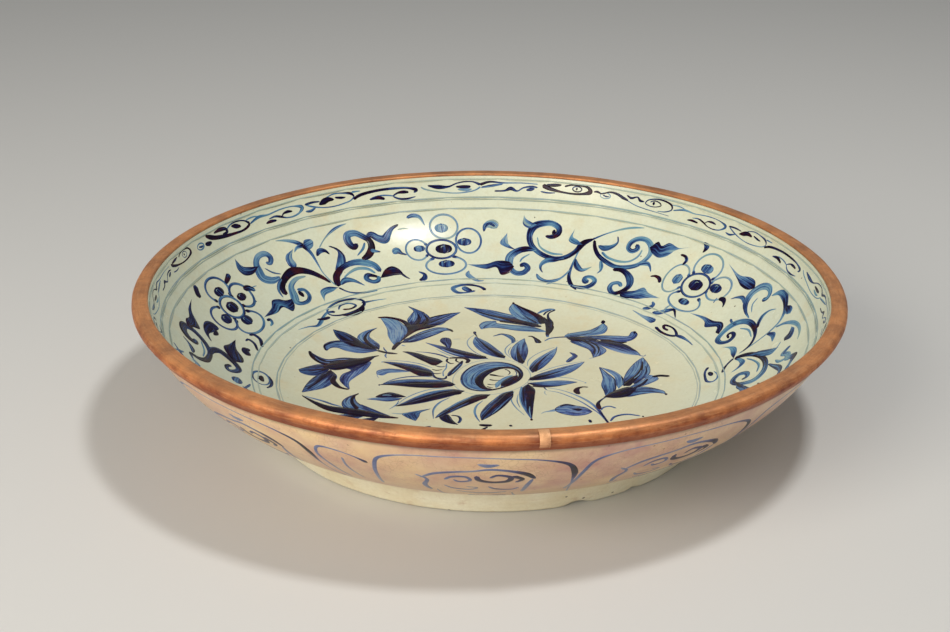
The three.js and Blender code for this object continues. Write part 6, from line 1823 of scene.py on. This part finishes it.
def paint_outside_panels():
    """Eleven lotus panels round the outside, and one narrow leaf where they did not meet."""
    side = Brush("painted_outside_panels", "outside")
    side.coarse = 2.0
    line = side.stroke

    def inner_line(points):
        side.stroke([(a, b, width * 1.4, tone) for a, b, width, tone in points], layer=1)

    for panel in range(PANELS):
        side.turn = panel * PANEL_PITCH
        line([(-18.4, 62, 1.4, 0.2), (-17.8, 76, 1.8, 0.4), (-17.2, 88, 2.2, 0.5), (-16, 97.6, 2.0, 0.55),
              (-12.6, 102, 1.2, 0.35), (-6, 103.6, 0.9, 0.3), (2, 103.4, 0.9, 0.35), (8.6, 101, 1.3, 0.6),
              (12, 96.4, 2.4, 0.9), (13.2, 89, 3.2, 1), (13.6, 78, 1.3, 0.5), (14.8, 56, 1.1, 0.3),
              (17, 38, 0.9, 0.2), (19.6, 22, 0.6, 0.1)])
        inner_line([(-9.6, 62, 1.4, 0.4), (-10.2, 72, 1.8, 0.5), (-9.4, 81, 1.3, 0.5),
                    (-11, 86, 1.0, 0.25)])
        inner_line([(-10.4, 82.4, 1.0, 0.3), (-8, 88.4, 1.6, 0.5), (-5, 91.2, 1.4, 0.5),
                    (-2.2, 92.6, 1.2, 0.4), (0.4, 94.4, 1.4, 0.5), (3.4, 93, 1.6, 0.6),
                    (6, 89.4, 2.4, 0.95), (7.4, 84, 1.4, 0.8)])
        inner_line([(7, 84, 1.2, 0.5), (6.4, 74, 1.7, 0.45), (6, 62, 1.2, 0.3)])
        inner_line([(-6.6, 82, 1.2, 0.4), (-5.4, 86, 1.5, 0.6), (-3.2, 86.4, 1.5, 0.6),
                    (-2.6, 82.4, 1.3, 0.5), (-4.4, 80.4, 1.4, 0.6), (-5.2, 83, 0.9, 0.4)])
        inner_line([(-1.6, 88, 1.6, 0.7), (-1.2, 83, 2.2, 0.9), (0.8, 80.4, 2.0, 0.9), (3.2, 82, 2.2, 0.9),
                    (3.6, 86.4, 2.0, 0.8), (1.6, 88.8, 1.5, 0.7), (0.4, 85.6, 1.3, 0.7)])
        inner_line([(3.8, 88, 2.4, 0.8), (5.4, 84, 1.8, 0.95), (4.4, 80, 1.2, 0.6)])
        inner_line([(-1.4, 99, 1.0, 0.35), (0, 97.6, 2.2, 0.45), (1.8, 98.6, 1.0, 0.35)])
        inner_line([(-7, 74, 0.7, 0.3), (-5.6, 69, 1.3, 0.5), (-2.8, 67.6, 1.2, 0.5),
                    (-1.6, 71.4, 0.9, 0.4), (-3.4, 73, 0.7, 0.4)])
        inner_line([(0.2, 74, 0.8, 0.5), (1.4, 69.6, 1.6, 0.7), (4.2, 68.6, 1.3, 0.6),
                    (5.2, 72.4, 0.8, 0.4)])
        inner_line([(-5.4, 63.4, 0.7, 0.3), (-2.6, 59.4, 1.2, 0.45), (0.8, 59.4, 1.4, 0.5),
                    (3.4, 63.6, 0.8, 0.4)])
        inner_line([(-0.8, 55, 0.7, 0.3), (-3.4, 48, 1.2, 0.4), (-1.4, 40, 1.0, 0.35), (2.4, 41, 1.0, 0.35),
                    (3.4, 48, 1.1, 0.4), (1, 51, 0.8, 0.3)])
        inner_line([(0.4, 35, 1.2, 0.35), (0.8, 28, 0.6, 0.2)])
        line([(-8.6, 64, 0.8, 0.4), (-8, 44, 1.2, 0.3), (-6, 24, 0.6, 0.1)])
        line([(4.4, 60, 0.8, 0.4), (5.6, 42, 1.2, 0.3), (7.8, 22, 0.6, 0.1)])
    side.turn = 0
    line([(-24.6, 62, 1.2, 0.2), (-25.6, 78, 1.7, 0.4), (-26.6, 91, 1.8, 0.5), (-25.6, 97.4, 1.8, 0.5),
          (-23, 97.8, 1.3, 0.4), (-20, 95, 1.2, 0.5), (-18, 91, 3.0, 1)])
    line([(-22.2, 92, 1.3, 0.35), (-22.4, 82, 1.5, 0.4), (-21.4, 66, 1.0, 0.15)])
    side.done(OUTSIDE_COBALT, "outer_glaze")


paint_rings()
paint_well_flower()
paint_well_sprigs()
paint_wall_rosettes()
paint_wall_scrolls()
paint_rim_scroll()
paint_outside_panels()


# Floor, lamps and camera

def make_floor():
    deselect_all()
    bpy.ops.mesh.primitive_plane_add(size=12, location=(0, 2, 0))
    floor = bpy.context.object
    floor.name = "floor"
    material, tree, surface = new_material("pale_paper_floor")
    surface.inputs["Base Color"].default_value = to_linear("#c9c8c4")
    surface.inputs["Roughness"].default_value = 0.9
    floor.data.materials.append(material)


def lamp(name, direction, distance, size, power, colour="#ffffff"):
    """A square softbox that faces the dish from a direction."""
    data = bpy.data.lights.new(name, "AREA")
    data.shape = "SQUARE"
    data.size = size
    data.energy = power
    data.color = to_linear(colour)[:3]
    box = bpy.data.objects.new(name, data)
    place = Vector(direction).normalized() * distance
    box.location = place
    box.rotation_mode = "QUATERNION"
    box.rotation_quaternion = (-place).to_track_quat("-Z", "Y")
    bpy.context.scene.collection.objects.link(box)


make_floor()
lamp("key_softbox", (-0.66, -0.76, 0.62), 1.6, 0.8, 15, "#fff8ee")
lamp("overhead_lamp", (0.27, -0.09, 0.95), 1.5, 0.18, 9.5)
lamp("front_softbox", (-0.22, -1.0, 0.42), 2.2, 1.3, 17, "#fffaf2")

world = bpy.data.worlds.new("studio")
world.use_nodes = True
background = world.node_tree.nodes["Background"]
background.inputs[0].default_value = to_linear("#e9ecef")
background.inputs[1].default_value = 0.27
bpy.context.scene.world = world

# The photograph's camera: where it stands, where it looks and its lens, for a 950 x 632 frame
CAMERA_DISTANCE_MM = 777.0
CAMERA_HEIGHT_MM = 378.5
CAMERA_YAW = -0.0092
CAMERA_PITCH = 0.3991
CAMERA_ROLL = 0.0081
FOCAL_PIXELS = 1633.1
FRAME_PIXELS = 950
SENSOR_MM = 36.0


def make_camera():
    forward = Vector((math.sin(CAMERA_YAW) * math.cos(CAMERA_PITCH),
                      math.cos(CAMERA_YAW) * math.cos(CAMERA_PITCH), -math.sin(CAMERA_PITCH)))
    right = Vector((math.cos(CAMERA_YAW), -math.sin(CAMERA_YAW), 0))
    up = right.cross(forward)
    turned_right = right * math.cos(CAMERA_ROLL) + up * math.sin(CAMERA_ROLL)
    turned_up = up * math.cos(CAMERA_ROLL) - right * math.sin(CAMERA_ROLL)
    data = bpy.data.cameras.new("camera")
    data.sensor_width = SENSOR_MM
    data.lens = FOCAL_PIXELS / FRAME_PIXELS * SENSOR_MM
    camera = bpy.data.objects.new("camera", data)
    camera.rotation_mode = "QUATERNION"
    camera.rotation_quaternion = Matrix((turned_right, turned_up, -forward)).transposed().to_quaternion()
    camera.location = (0, -CAMERA_DISTANCE_MM * MM, CAMERA_HEIGHT_MM * MM)
    bpy.context.scene.collection.objects.link(camera)
    bpy.context.scene.camera = camera


make_camera()
bpy.context.scene.view_settings.view_transform = "Standard"
